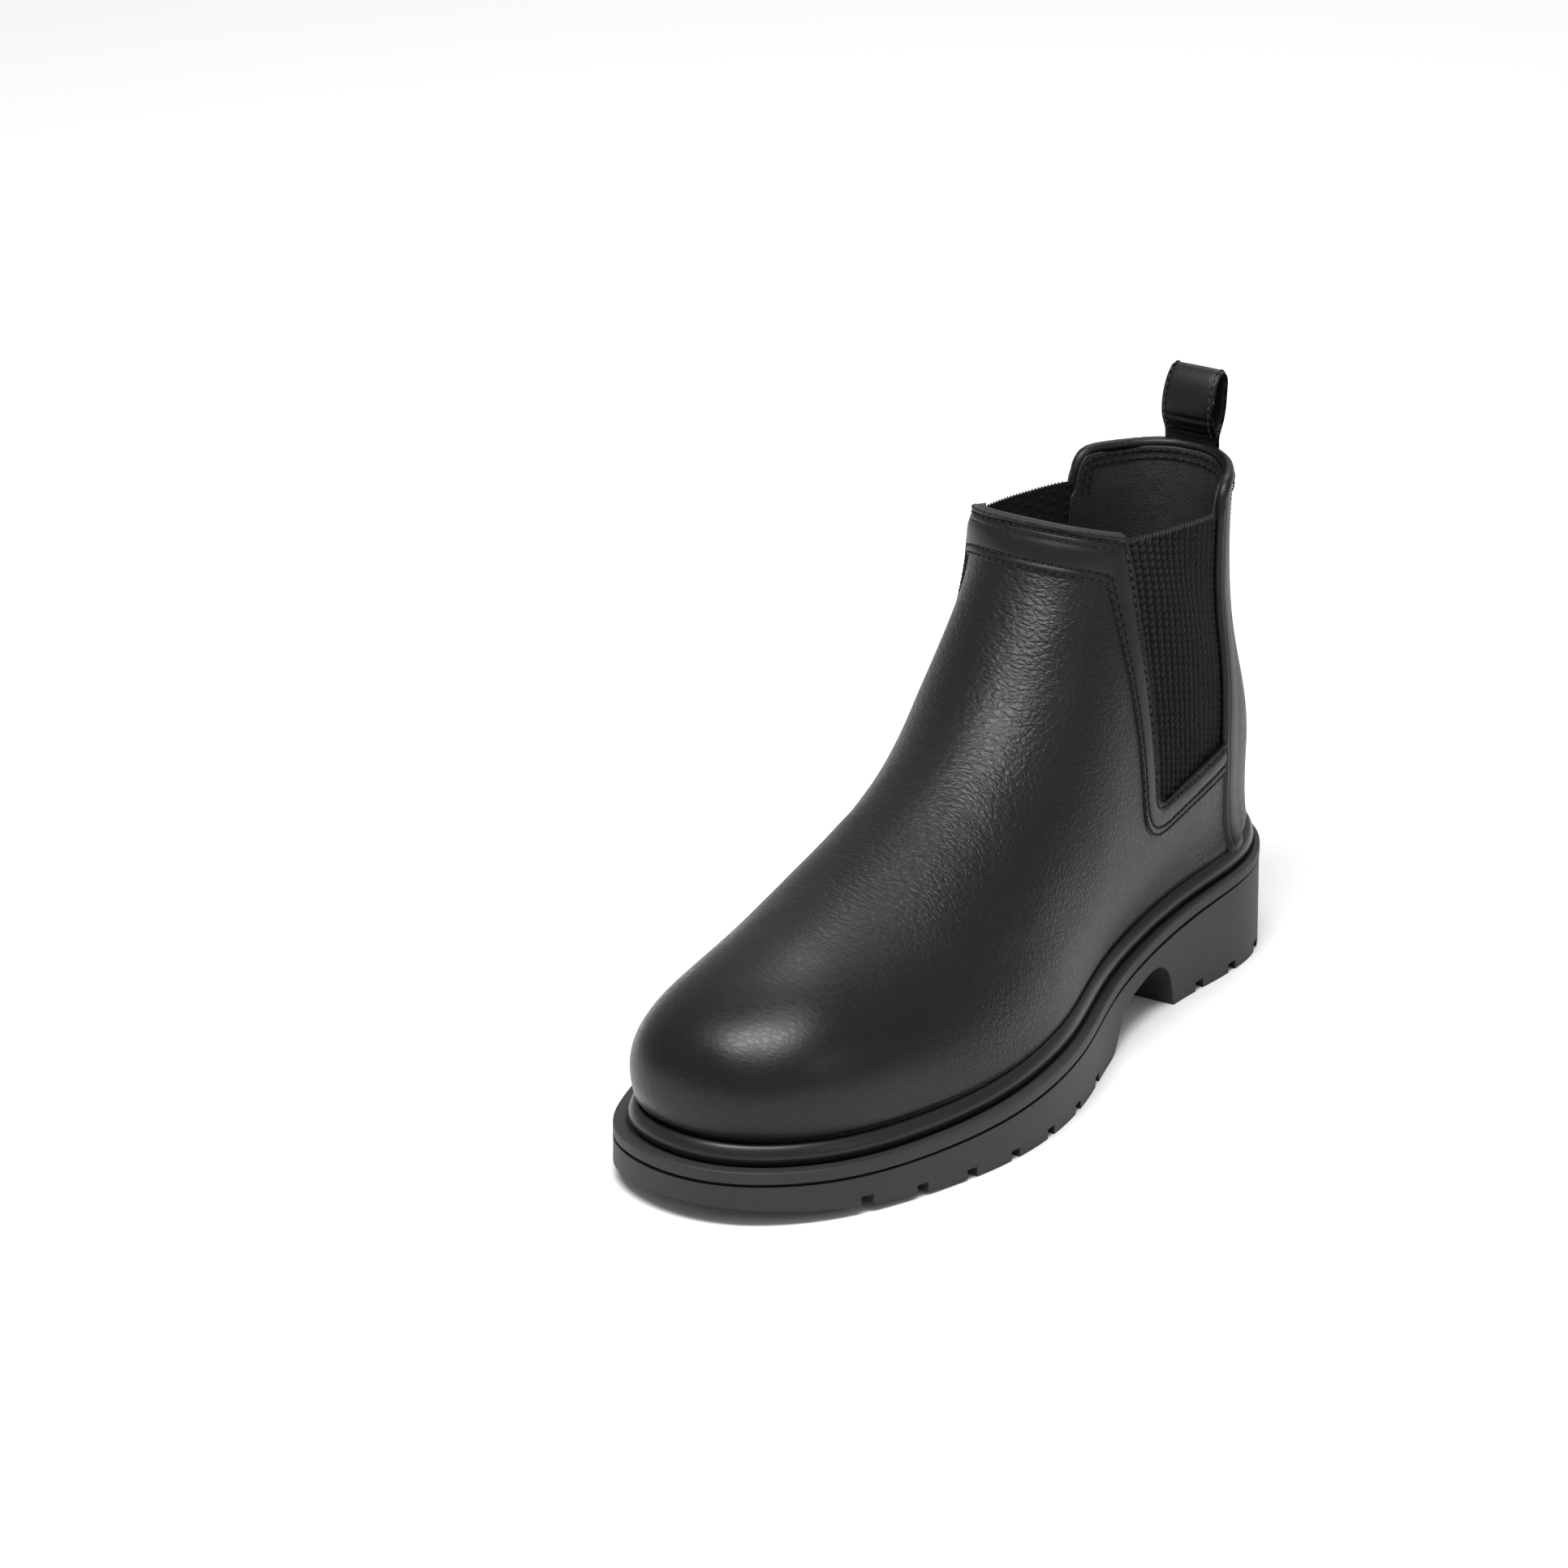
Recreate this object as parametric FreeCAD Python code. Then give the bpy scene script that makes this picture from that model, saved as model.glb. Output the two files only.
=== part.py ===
import FreeCAD, Part
import math
import os

# Chelsea boot, left foot, adult EU 42.
# +X points to the toe, +Y to the outer (lateral) side of the foot, +Z up.
# Everything is drawn in the maker's frame (x = 0 under the arch, z = 0 on the
# ground) and moved at the end so that the origin is under the middle of the boot.

# ---- driving dimensions, millimetres -------------------------------------------
sole_length = 305.0          # outsole, heel to toe
sole_width = 116.0           # outsole, across the ball
shaft_height = 137.0         # upper edge of the sole wall (at the waist) to the topline
heel_rise = 35.0             # sole wall height at the heel
ball_rise = 22.0             # sole wall height under the waist and ball
toe_rise = 18.0              # top of the sole wall at the toe
toe_spring = 6.0             # how far the toe's underside is off the ground
arch_height = 16.0           # underside of the waist above the ground
heel_length = 82.0           # length of the heel block on the ground
midsole_edge = 4.1           # visible strip above the sole's groove line
groove_gap = 0.7             # the groove line itself
tread_depth = 3.2
tread_gap = 4.2              # width of a tread groove
ledge = 2.4                  # flat ledge of the midsole outside the welt bead
bead_height = 6.2            # rounded welt bead
channel = 3.6                # sole edge to the upper, at the heel
channel_growth = 3.6         # extra at the toe
outer_leather = 1.6          # vamp and heel panel
facing_leather = 0.9         # smooth band sewn on top of the vamp
lining_leather = 1.0
stiffener = 1.0              # toe puff, heel counter
gore_thickness = 1.0         # woven elastic
layer_gap = 0.1              # between layers of the upper
band_width = 10.0            # facing band beside and below the elastic
gore_tuck = 5.0              # elastic hidden under the leather on each edge
insole_board = 2.0
footbed = 4.6
sock_leather = 1.1
filler = 2.4
lasting_room = 3.4           # between the lining and the stack under the foot
shank_length = 105.0
shank_width = 14.0
shank_thickness = 1.2
tab_width = 19.4             # pull tab
tab_height = 24.0            # pull tab above the topline
tab_leather = 1.4
tab_depth = 9.6              # front leg to back leg of the loop, outside
tab_lift = 1.6               # fold line of the loop above the topline
tab_sewn = 20.0              # length of the strap's ends sewn in below the topline
flex_height = 84.0           # where the shaft's back starts to lean, above ground
flex_gap = 0.4
seam_gap = 0.15              # between leather pieces that meet edge to edge

# ---- proportions of the last, for the dimensions above ---------------------------
REF_LENGTH = 305.0
REF_WIDTH = 116.0
REF_SHAFT = 137.0
KX = sole_length / REF_LENGTH
KY = sole_width / REF_WIDTH
KZ = shaft_height / REF_SHAFT

# plan outline of the sole, heel first, along the outer side to the toe and back
SOLE_PLAN = [(-150, -2), (-145.2, 21.5), (-120, 39.5), (-84, 40.4), (-30.6, 43.5), (15, 57), (58.5, 61),
             (96, 53.5), (131, 38), (152, 14), (154.5, -10), (142, -34.5), (116, -47.5), (78, -54.5),
             (27, -48), (-27, -33), (-76, -35), (-118, -37), (-142, -22)]

# Cross-sections of the last, fanned from the toe over the instep and up the shaft.
# Each is drawn on a chord in the side view, from the sole or back (x0, z0) to the
# ridge or front (x1, z1): middle y, half width, place of the widest point along
# the chord, and squareness of the lower and upper half (smaller is squarer).
SECTIONS = [
    (147.5, 25, 147.5, 25, -3, 0.5, .50, .90, 1.00),
    (145, 17, 149, 36, -3, 17.5, .50, .85, .95),
    (136, 10, 143, 52.5, -3, 30, .45, .75, .95),
    (118, 8, 121, 65.5, -1, 40.5, .38, .70, .95),
    (85, 5, 86, 74, 2, 47, .34, .70, .97),
    (45, 5, 43, 88, 3.5, 49, .32, .70, 1.02),
    (5, 8, 3.5, 110, 3.5, 44, .32, .70, 1.03),
    (-35, 15, -20.5, 135, 2.5, 40.5, .36, .72, .95),
    (-85, 20, -32, 150, 1.5, 38, .41, .76, .85),
    (-130, 24, -37.5, 160, .5, 36.5, .46, .78, .76),
    (-149.5, 52, -40.5, 170, -.5, 35, .50, .80, .72),
    (-148.5, 80, -43, 179, -.5, 32, .50, .85, .72),
    (-143.5, 120, -45, 189, -.5, 30.5, .50, .90, .72),
    (-147, 185, -48, 205, 0, 30.5, .50, .90, .72)]
BACK_CURVE = [(-145.5, 42), (-149.2, 56), (-148.6, 80), (-143.8, 118), (-146.3, 176)]
SKIN_TOP = 176.0             # the skin is drawn a little higher than the topline
FEATHER = 7.0                # upper edge of the bead above the sole wall

V = FreeCAD.Vector


# ---- curves ----------------------------------------------------------------------
def spline(points, knots, closed=False):
    """A smooth curve through points at the given parameter values."""
    curve = Part.BSplineCurve()
    curve.interpolate(Points=points, Parameters=knots, PeriodicFlag=closed)
    return curve


def running_length(points, power=1.0):
    """Distance from the first point to each point, for spacing a curve's parameter."""
    total = [0.0]
    for a, b in zip(points, points[1:]):
        total.append(total[-1] + a.distanceToPoint(b) ** power)
    return total


def plan_curve():
    points = [V(x * KX, y * KY, 0) for x, y in SOLE_PLAN]
    return spline(points, running_length(points + points[:1], 0.7), True)


def sole_top(x):
    """Height of the sole wall's upper edge."""
    return TOP_CURVE.value(min(max(x / KX, -152), 155)).z


def make_top_curve():
    places = [-152, -90, -30, 20, 75, 120, 155]
    heights = [heel_rise, heel_rise - 3, ball_rise + 2.4, ball_rise]
    heights += [toe_rise + 0.6, toe_rise - 0.6, toe_rise + 0.5]
    return spline([V(x, 0, z) for x, z in zip(places, heights)], places)


TOP_CURVE = make_top_curve()
REF_PLACES = [-152, -90, -30, 20, 75, 120, 155]
REF_HEIGHTS = [35, 32, 24.4, 22, 18.6, 17.4, 18.5]
REF_TOP = spline([V(x, 0, z) for x, z in zip(REF_PLACES, REF_HEIGHTS)], REF_PLACES)
PLAN = plan_curve()
PLAN_STEPS = 360


def plan_points(inset, growth=0.0, steps=PLAN_STEPS):
    """Points of the sole outline moved inwards, by more towards the toe when growth is set."""
    first, last = PLAN.FirstParameter, PLAN.LastParameter
    found = []
    for i in range(steps):
        t = first + (last - first) * i / steps
        p = PLAN.value(t)
        d = PLAN.tangent(t)[0]
        amount = inset + growth * min(max((p.x / KX + 150) / 300, 0), 1)
        found.append(V(p.x - d.y * amount, p.y + d.x * amount, 0) if TURN > 0 else
                     V(p.x + d.y * amount, p.y - d.x * amount, 0))
    return found


def turning():
    """+1 when the plan outline runs anticlockwise, -1 when clockwise."""
    first, last = PLAN.FirstParameter, PLAN.LastParameter
    ring = [PLAN.value(first + (last - first) * i / 60) for i in range(60)]
    area = sum(a.x * b.y - b.x * a.y for a, b in zip(ring, ring[1:] + ring[:1]))
    return 1 if area > 0 else -1


TURN = turning()


def real_height(x, z):
    """Height in this boot of a point drawn at height z on the reference last."""
    reference = REF_TOP.value(min(max(x, -152), 155)).z
    return sole_top(x * KX) + (z - reference) * KZ


def placed(x, z):
    """Side-view point of the reference last, moved to this boot's size."""
    return x * KX, real_height(x, z)


# ---- the outer skin of the upper ---------------------------------------------------
def section_curves():
    knots = list(range(len(SECTIONS)))
    low = []
    high = []
    form = []
    for x0, z0, x1, z1, middle, half, widest, square_low, square_high in SECTIONS:
        a, b = placed(x0, z0), placed(x1, z1)
        low.append(V(a[0], a[1], middle * KY))
        high.append(V(b[0], b[1], half * KY))
        form.append(V(widest, square_low, square_high))
    return spline(low, knots), spline(high, knots), form


LOW, HIGH, FORM = section_curves()
LAST_SECTION = len(SECTIONS) - 1


def form_at(s):
    """The section's form between two drawn sections, by a cubic through four of them."""
    i = min(int(s), LAST_SECTION - 1)
    t = s - i
    before, first, second, after = (FORM[min(max(k, 0), LAST_SECTION)] for k in range(i - 1, i + 3))
    slope_a, slope_b = (second - before) * 0.5, (after - first) * 0.5
    return first * (2 * t ** 3 - 3 * t ** 2 + 1) + slope_a * (t ** 3 - 2 * t ** 2 + t) \
        + second * (3 * t ** 2 - 2 * t ** 3) + slope_b * (t ** 3 - t ** 2)


def skin_y(x, z, side):
    """y of the skin at a side-view point: finds the section whose chord passes through it."""
    start, stop = 0.0, float(LAST_SECTION)
    for _ in range(26):
        middle = (start + stop) / 2
        a, b = LOW.value(middle), HIGH.value(middle)
        if (b.x - a.x) * (z - a.y) - (b.y - a.y) * (x - a.x) > 0:
            start = middle
        else:
            stop = middle
    a, b, form = LOW.value(start), HIGH.value(start), form_at(start)
    length2 = max((b.x - a.x) ** 2 + (b.y - a.y) ** 2, 1e-9)
    t = ((x - a.x) * (b.x - a.x) + (z - a.y) * (b.y - a.y)) / length2
    t = min(max(t, 0), 1)
    if t < form.x:
        k, square = (form.x - t) / form.x, form.y
    else:
        k, square = (t - form.x) / (1 - form.x), form.z
    bulge = max(1 - k ** (2 / square), 0) ** (square / 2)
    return a.z + side * b.z * bulge


def feather_sides(columns):
    """The line where the upper meets the bead, as columns + 1 points per side, toe to heel."""
    ring = plan_points(channel, channel_growth)
    toe = max(range(len(ring)), key=lambda i: ring[i].x)
    heel = min(range(len(ring)), key=lambda i: ring[i].x)
    sides = {}
    for side in (1, -1):
        step = TURN * side
        walk = [ring[toe]]
        i = toe
        while i % len(ring) != heel:
            i += step
            walk.append(ring[i % len(ring)])
        along = running_length(walk)
        spaced = []
        j = 0
        for n in range(columns + 1):
            target = along[-1] * n / columns
            while along[j + 1] < target - 1e-9:
                j += 1
            share = (target - along[j]) / (along[j + 1] - along[j])
            spaced.append(walk[j] + (walk[j + 1] - walk[j]) * share)
        sides[side] = spaced
    return sides


COLUMNS = 44                 # per side, toe to heel
ROWS = 30                    # sole to the top of the skin


def skin_grid():
    """Points of the skin, rows from the sole up, columns from the heel round the
    inner side, the toe and the outer side back to the heel."""
    sides = feather_sides(COLUMNS)
    toe_x, heel_x = sides[1][0].x, sides[1][-1].x
    ridge = [HIGH.value(LAST_SECTION * i / 400) for i in range(401)]
    ridge = [V(p.x, 0, p.y) for p in ridge]
    top = real_height(-43, SKIN_TOP)
    ridge = [p for i, p in enumerate(ridge) if i == 0 or p.z <= top or p.x > 0]
    along = running_length(ridge)
    back_points = [placed(x, z) for x, z in BACK_CURVE]
    back = spline([V(x, 0, z) for x, z in back_points], [z for x, z in back_points])
    low_back = back_points[0][1]
    grid = []
    for r in range(ROWS + 1):
        v = r / ROWS
        reach = along[-1] * v
        j = max(i for i in range(len(along)) if along[i] <= reach + 1e-9)
        j = min(j, len(along) - 2)
        front = ridge[j] + (ridge[j + 1] - ridge[j]) * ((reach - along[j]) / (along[j + 1] - along[j]))
        rear = back.value(low_back + (top - low_back) * v)
        row = []
        for q in range(-COLUMNS, COLUMNS + 1):
            side = 1 if q >= 0 else -1
            edge = sides[side][abs(q)]
            share = (toe_x - edge.x) / (toe_x - heel_x)
            edge_z = sole_top(edge.x) + FEATHER
            level = sole_top(toe_x) + FEATHER
            level += (low_back - level) * share
            x = front.x + (rear.x - front.x) * share
            z = front.z + (rear.z - front.z) * share + (1 - v) ** 2 * (edge_z - level)
            y = skin_y(x, z, side)
            hold = max(1 - v / 0.16, 0) ** 2
            row.append(V(x, y + hold * (edge.y - y), z))
        row[COLUMNS].y = (row[COLUMNS - 1].y + row[COLUMNS + 1].y) / 2
        heel_y = (row[1].y + row[-2].y) / 2
        row[0] = V(row[0].x, heel_y, row[0].z)
        row[-1] = row[0]
        grid.append(row)
    foot = [V(p.x, p.y, sole_top(p.x) + 0.2) for p in grid[0]]
    return [foot] + grid


GRID = skin_grid()


def grid_normals():
    """Outward directions at the grid points, from the neighbours' differences."""
    normals = []
    count = 2 * COLUMNS
    for r, row in enumerate(GRID):
        below, above = GRID[max(r - 1, 0)], GRID[min(r + 1, len(GRID) - 1)]
        line = []
        for c in range(count + 1):
            along = row[(c + 1) % count] - row[(c - 1) % count]
            up = above[c] - below[c]
            n = along.cross(up)
            line.append(n.normalize())
        normals.append(line)
    inside = V(0, 0, GRID[4][0].z) - GRID[4][0]
    if normals[4][0].dot(inside) > 0:
        normals = [[n * -1 for n in line] for line in normals]
    flat = [V(n.x, n.y, 0).normalize() for n in normals[0]]
    normals[0] = flat
    return normals


NORMALS = grid_normals()


def sheet(columns, outer, inner):
    """A solid sheet that follows the skin, between two depths below it."""
    def face_of(depth):
        points = [[GRID[r][c] - NORMALS[r][c] * depth for c in columns] for r in range(len(GRID))]
        surface = Part.BSplineSurface()
        surface.interpolate(points)
        return surface

    outside, inside = face_of(outer), face_of(inner)
    faces = [outside.toShape(), inside.toShape()]
    outside_ends, inside_ends = outside.bounds(), inside.bounds()
    walls = [(outside.uIso(a), inside.uIso(b)) for a, b in zip(outside_ends[:2], inside_ends[:2])]
    walls += [(outside.vIso(a), inside.vIso(b)) for a, b in zip(outside_ends[2:], inside_ends[2:])]
    for a, b in walls:
        faces.append(Part.makeRuledSurface(a.toShape(), b.toShape()))
    shell = Part.makeShell(faces)
    shell.sewShape()
    solid = Part.makeSolid(shell)
    if solid.Volume < 0:
        solid.reverse()
    return solid


ALL = 2 * COLUMNS
FRONT = list(range(3, ALL - 2))                                  # open at the heel
REAR = list(range(ALL - 18, ALL)) + list(range(0, 19))           # round the heel
OUTER_SIDE = list(range(COLUMNS + 1, ALL - 1))
INNER_SIDE = list(range(2, COLUMNS))


# ---- side-view patterns --------------------------------------------------------------
REACH = 120.0                # patterns are cut through to this far each side


def pattern(points):
    """A block right through the boot whose side view is the given outline.
    A point is (x, z) on the reference last, or (x, z, radius) for a rounded corner."""
    corners = []
    for p in points:
        x, z = placed(p[0], p[1])
        corners.append((V(x, -REACH, z), p[2] if len(p) > 2 else 0.0))
    edges = []
    count = len(corners)
    ends = []
    for i, (p, radius) in enumerate(corners):
        before, after = corners[i - 1][0], corners[(i + 1) % count][0]
        a, b = (before - p).normalize(), (after - p).normalize()
        if radius:
            half = a.getAngle(b) / 2
            back_off = radius / math.tan(half)
            back_off = min(back_off, 0.45 * (before - p).Length, 0.45 * (after - p).Length)
            radius = back_off * math.tan(half)
            centre = p + (a + b).normalize() * (radius / math.sin(half))
            middle = centre + (p - centre).normalize() * radius
            ends.append((p + a * back_off, middle, p + b * back_off))
        else:
            ends.append((p, None, p))
    for i, (first, middle, last) in enumerate(ends):
        if middle:
            edges.append(Part.Arc(first, middle, last).toShape())
        edges.append(Part.makeLine(last, ends[(i + 1) % count][0]))
    face = Part.Face(Part.Wire(edges))
    return face.extrude(V(0, 2 * REACH, 0))


def cut_sheet(columns, outer, inner, keep, drop=()):
    """A leather piece: the skin sheet inside a pattern, less other patterns."""
    piece = sheet(columns, outer, inner).common(keep)
    for block in drop:
        piece = piece.cut(block)
    return piece


GORE_FRONT = -57.0
GORE_TIP = 72.0
GORE_HEEL = 77.0
GORE_BACK_LOW = -105.6
GORE_BACK_TOP = -114.8
GORE_TOP_FRONT = 161.0
GORE_TOP_BACK = 152.2
REAR_BAND = -9.5             # width of the rear facing, rearwards
VAMP_SPLIT = 22.0            # where the vamp's front and instep pieces meet
FRONT_TOP = 166.5            # topline at the middle of the front
BACK_TOP = 162.0             # topline at the back
OPEN_TOP = (230.0, 230.0)    # heights of an opening that runs out over the topline
ELASTIC_TOP = (GORE_TOP_BACK - 0.4, GORE_TOP_FRONT - 0.4)


def gore_window(grow=0.0, tops=OPEN_TOP):
    """The opening that the elastic fills; grow widens it on the three closed edges."""
    lean = (GORE_BACK_TOP - GORE_BACK_LOW) / (GORE_TOP_BACK - GORE_HEEL)
    back_low = GORE_BACK_LOW - grow
    front = GORE_FRONT + grow
    upper = [(back_low + lean * (tops[0] - GORE_HEEL), tops[0]), (front, tops[1])]
    return [(front, GORE_TIP - grow, 4.0 + grow), (back_low, GORE_HEEL - grow, 2.0)] + upper


def rear_seam(shift):
    """Front edge of the rear facing, from the topline to the sole, moved by shift."""
    return [(GORE_BACK_TOP + shift - 1.2, 176), (GORE_BACK_LOW + shift, GORE_HEEL), (-107.8 + shift, 28)]


def front_region(top, seam_shift):
    """Everything in front of the rear seam and below a topline that rises to the front."""
    slope = (FRONT_TOP - GORE_TOP_FRONT) / (-41.0 + 58.5)
    return [(190, 0), (190, top + slope * (190 + 58.5)), (GORE_FRONT, top, 1.5), (GORE_FRONT - 30, top)] \
        + rear_seam(seam_shift) + [(-107.8 + seam_shift, 0)]


# the back's topline, from the elastic over a rounded corner to the heel
BACK_TOPLINE = [(-115.6, 150.5), (-117.5, 158.5, 4.0), (-124.5, BACK_TOP, 6.0), (-190, BACK_TOP - 1.0)]


def back_cap(drop=0.0):
    """The back panel's topline with its rounded corner, as a block that lies below it."""
    upper = [(p[0], p[1] - drop) + tuple(p[2:]) for p in BACK_TOPLINE]
    return pattern([(-90, -10), (-90, 150.5 - drop)] + upper + [(-190, -10)])


def below_flex():
    return Part.makeBox(600, 400, flex_height, V(-400, -200, 0))


def above_flex():
    return Part.makeBox(600, 400, 300, V(-400, -200, flex_height + flex_gap))


def behind(shift, gap=0.0):
    line = rear_seam(shift - gap)
    return pattern([(-200, 176), (-200, 0), (line[2][0], 0), (line[2][0], line[2][1])] + [line[1], line[0]])


def in_front(shift, gap=0.0):
    line = rear_seam(shift + gap)
    return pattern([(60, 176), (60, 0), (line[2][0], 0), (line[2][0], line[2][1])] + [line[1], line[0]])


# ---- the sole -----------------------------------------------------------------------
def plan_face(inset, growth=0.0, z=0.0):
    points = [V(p.x, p.y, z) for p in plan_points(inset, growth, 72)]
    curve = Part.BSplineCurve()
    curve.interpolate(Points=points, PeriodicFlag=True)
    return Part.Face(Part.Wire([curve.toShape()]))


def plan_column(inset, growth=0.0):
    return plan_face(inset, growth, -5).extrude(V(0, 0, 120))


def slab(inset, growth, lower, upper, x_from=-200.0, x_to=200.0):
    """A plate that follows the sole's upper edge, between two heights above it."""
    steps = 24
    places = [x_from + (x_to - x_from) * i / steps for i in range(steps + 1)]
    low = spline([V(x, -120, sole_top(x) + lower) for x in places], [float(x) for x in places])
    high = spline([V(x, -120, sole_top(x) + upper) for x in places], [float(x) for x in places])
    ends = [Part.makeLine(low.value(places[-1]), high.value(places[-1])),
            Part.makeLine(high.value(places[0]), low.value(places[0]))]
    face = Part.Face(Part.Wire([low.toShape(), ends[0], high.toShape(), ends[1]]))
    return plan_column(inset, growth).common(face.extrude(V(0, 240, 0)))


def underside(x):
    """Height of the sole's underside: flat heel, raised waist, flat ball, sprung toe."""
    ahead = max(x / KX - 55, 0) / 96
    return toe_spring * ahead ** 2


def ground_block():
    """What is cut away under the sole: the waist arch and the toe spring."""
    heel_front = -152 * KX + heel_length
    toe = 170 * KX
    points = [V(heel_front, -120, -6), V(heel_front + 3, -120, arch_height * 0.55),
              V(heel_front + 9, -120, arch_height), V(heel_front + 26, -120, arch_height - 1.2),
              V(heel_front + 37, -120, arch_height * 0.7), V(heel_front + 44, -120, arch_height * 0.2),
              V(heel_front + 52, -120, 0)]
    arch = Part.BSplineCurve()
    arch.interpolate(Points=points[1:])
    ball = Part.makeLine(points[-1], V(55 * KX, -120, 0))
    places = [55 * KX + (toe - 55 * KX) * i / 8 for i in range(9)]
    spring = spline([V(x, -120, underside(x)) for x in places], places)
    front_corner = V(toe, -120, -6)
    edges = [Part.makeLine(points[0], points[1]), arch.toShape(), ball, spring.toShape()]
    edges += [Part.makeLine(spring.value(places[-1]), front_corner), Part.makeLine(front_corner, points[0])]
    return Part.Face(Part.Wire(edges)).extrude(V(0, 240, 0))


def tread_cuts():
    """Grooves of the tread: across the heel and ball, and along the middle of the ball."""
    cuts = []
    deep = tread_depth
    heel_front = -152 * KX + heel_length

    def bar(x, width, y0, y1, turn=0.0):
        floor = underside(x)
        box = Part.makeBox(width, y1 - y0, deep + 6, V(x - width / 2, y0, floor - 6))
        box.rotate(V(x, (y0 + y1) / 2, 0), V(0, 0, 1), turn)
        return box

    for n in range(3):
        x = heel_front - 14 - n * 19.0 * KX
        cuts.append(bar(x, tread_gap, 12, 70, -8))
        cuts.append(bar(x, tread_gap, -70, -12, 8))
    cuts.append(bar(heel_front - 36 * KX, 46 * KX, -2.1, 2.1))
    for n in range(7):
        x = (-2 + n * 20.5) * KX
        cuts.append(bar(x, tread_gap, 14, 80, -8))
        cuts.append(bar(x, tread_gap, -75, -10, 8))
    for n in range(6):
        x = (8 + n * 20.5) * KX
        cuts.append(bar(x, tread_gap, -12, 16))
    return cuts


def make_outsole():
    body = slab(0, 0, -60, -midsole_edge - groove_gap)
    body = body.cut(ground_block())
    body = body.common(Part.makeBox(600, 400, 200, V(-300, -200, 0)))
    core = slab(groove_gap + 0.9, 0, -midsole_edge - groove_gap - 0.01, -midsole_edge - 0.02)
    return body.cut(Part.makeCompound(tread_cuts())).fuse(core)


def make_midsole():
    return slab(0, 0, -midsole_edge, 0)


def make_bead():
    """Rounded welt bead: round section carried round the foot of the upper."""
    outer = plan_points(ledge, channel_growth * 0.8, 96)
    inner = plan_points(channel - 0.35, channel_growth, 96)
    ring = []
    low, high = 0.12, bead_height
    for a, b in zip(outer, inner):
        za, zb = sole_top(a.x), sole_top(b.x)
        ring.append([V(a.x, a.y, za + low), V(a.x, a.y, za + high * 0.62),
                     V(b.x + (a.x - b.x) * 0.7, b.y + (a.y - b.y) * 0.7, za + high * 0.93),
                     V(b.x, b.y, zb + high), V(b.x, b.y, zb + low)])
    return ring


def ring_solid(ring):
    """A closed ring from a list of sections with the same number of corners."""
    faces = []
    count = len(ring[0])
    loops = []
    for k in range(count):
        curve = Part.BSplineCurve()
        curve.interpolate(Points=[section[k] for section in ring], PeriodicFlag=True)
        loops.append(curve.toShape())
    for k in range(count):
        faces.append(Part.makeRuledSurface(loops[k], loops[(k + 1) % count]))
    shell = Part.makeShell(faces)
    shell.sewShape()
    solid = Part.makeSolid(shell)
    if solid.Volume < 0:
        solid.reverse()
    return solid


# ---- the pull tab ---------------------------------------------------------------------
TAB_MIDDLE = -0.7            # y of the strap's middle
TAB_FOOT = -143.9            # x of the loop's foot, between the panel and the lining


def tab_foot():
    """The fold line of the loop, just above the back's topline."""
    x, z = placed(TAB_FOOT, BACK_TOP)
    return x, z + tab_lift


def make_tab():
    """A strap folded over into a loop that bulges between its foot and its top."""
    x, z = tab_foot()
    bulge = (tab_depth - tab_leather) / 2
    foot = tab_leather / 2 + 0.1
    top = tab_height - tab_lift - tab_leather / 2
    lean = -0.17
    front = [(foot, 0), (bulge * 0.66, top * 0.2), (bulge, top * 0.48), (bulge * 0.94, top * 0.72),
             (bulge * 0.62, top * 0.92)]
    path = front + [(0, top)] + [(-a, b) for a, b in front[::-1]]
    middle = Part.BSplineCurve()
    middle.interpolate(Points=[V(x + a + lean * b * b / top, 0, z + b) for a, b in path],
                       InitialTangent=V(0, 0, 1), FinalTangent=V(0, 0, -1))
    steps = 36
    sides = {1: [], -1: []}
    for i in range(steps + 1):
        t = middle.FirstParameter + (middle.LastParameter - middle.FirstParameter) * i / steps
        p, d = middle.value(t), middle.tangent(t)[0]
        for sign in sides:
            sides[sign].append(p + V(-d.z, 0, d.x) * (sign * tab_leather / 2))
    curves = {}
    for sign, points in sides.items():
        curves[sign] = Part.BSplineCurve()
        curves[sign].interpolate(Points=points)
    edges = [curves[1].toShape(), Part.makeLine(sides[1][-1], sides[-1][-1]), curves[-1].toShape(),
             Part.makeLine(sides[-1][0], sides[1][0])]
    face = Part.Face(Part.Wire(edges))
    face.translate(V(0, TAB_MIDDLE - tab_width / 2, 0))
    return face.extrude(V(0, tab_width, 0))


def make_tab_ends():
    """The strap's two ends, sewn in between the heel panel and the lining."""
    depth = outer_leather + layer_gap / 2
    foot_z = tab_foot()[1] - tab_lift
    corner = V(TAB_FOOT * KX - 30, TAB_MIDDLE - tab_width / 2, foot_z - tab_sewn - 0.6)
    slot = Part.makeBox(60, tab_width, tab_sewn, corner)
    return sheet(REAR, depth, depth + stiffener).common(slot)


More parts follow.
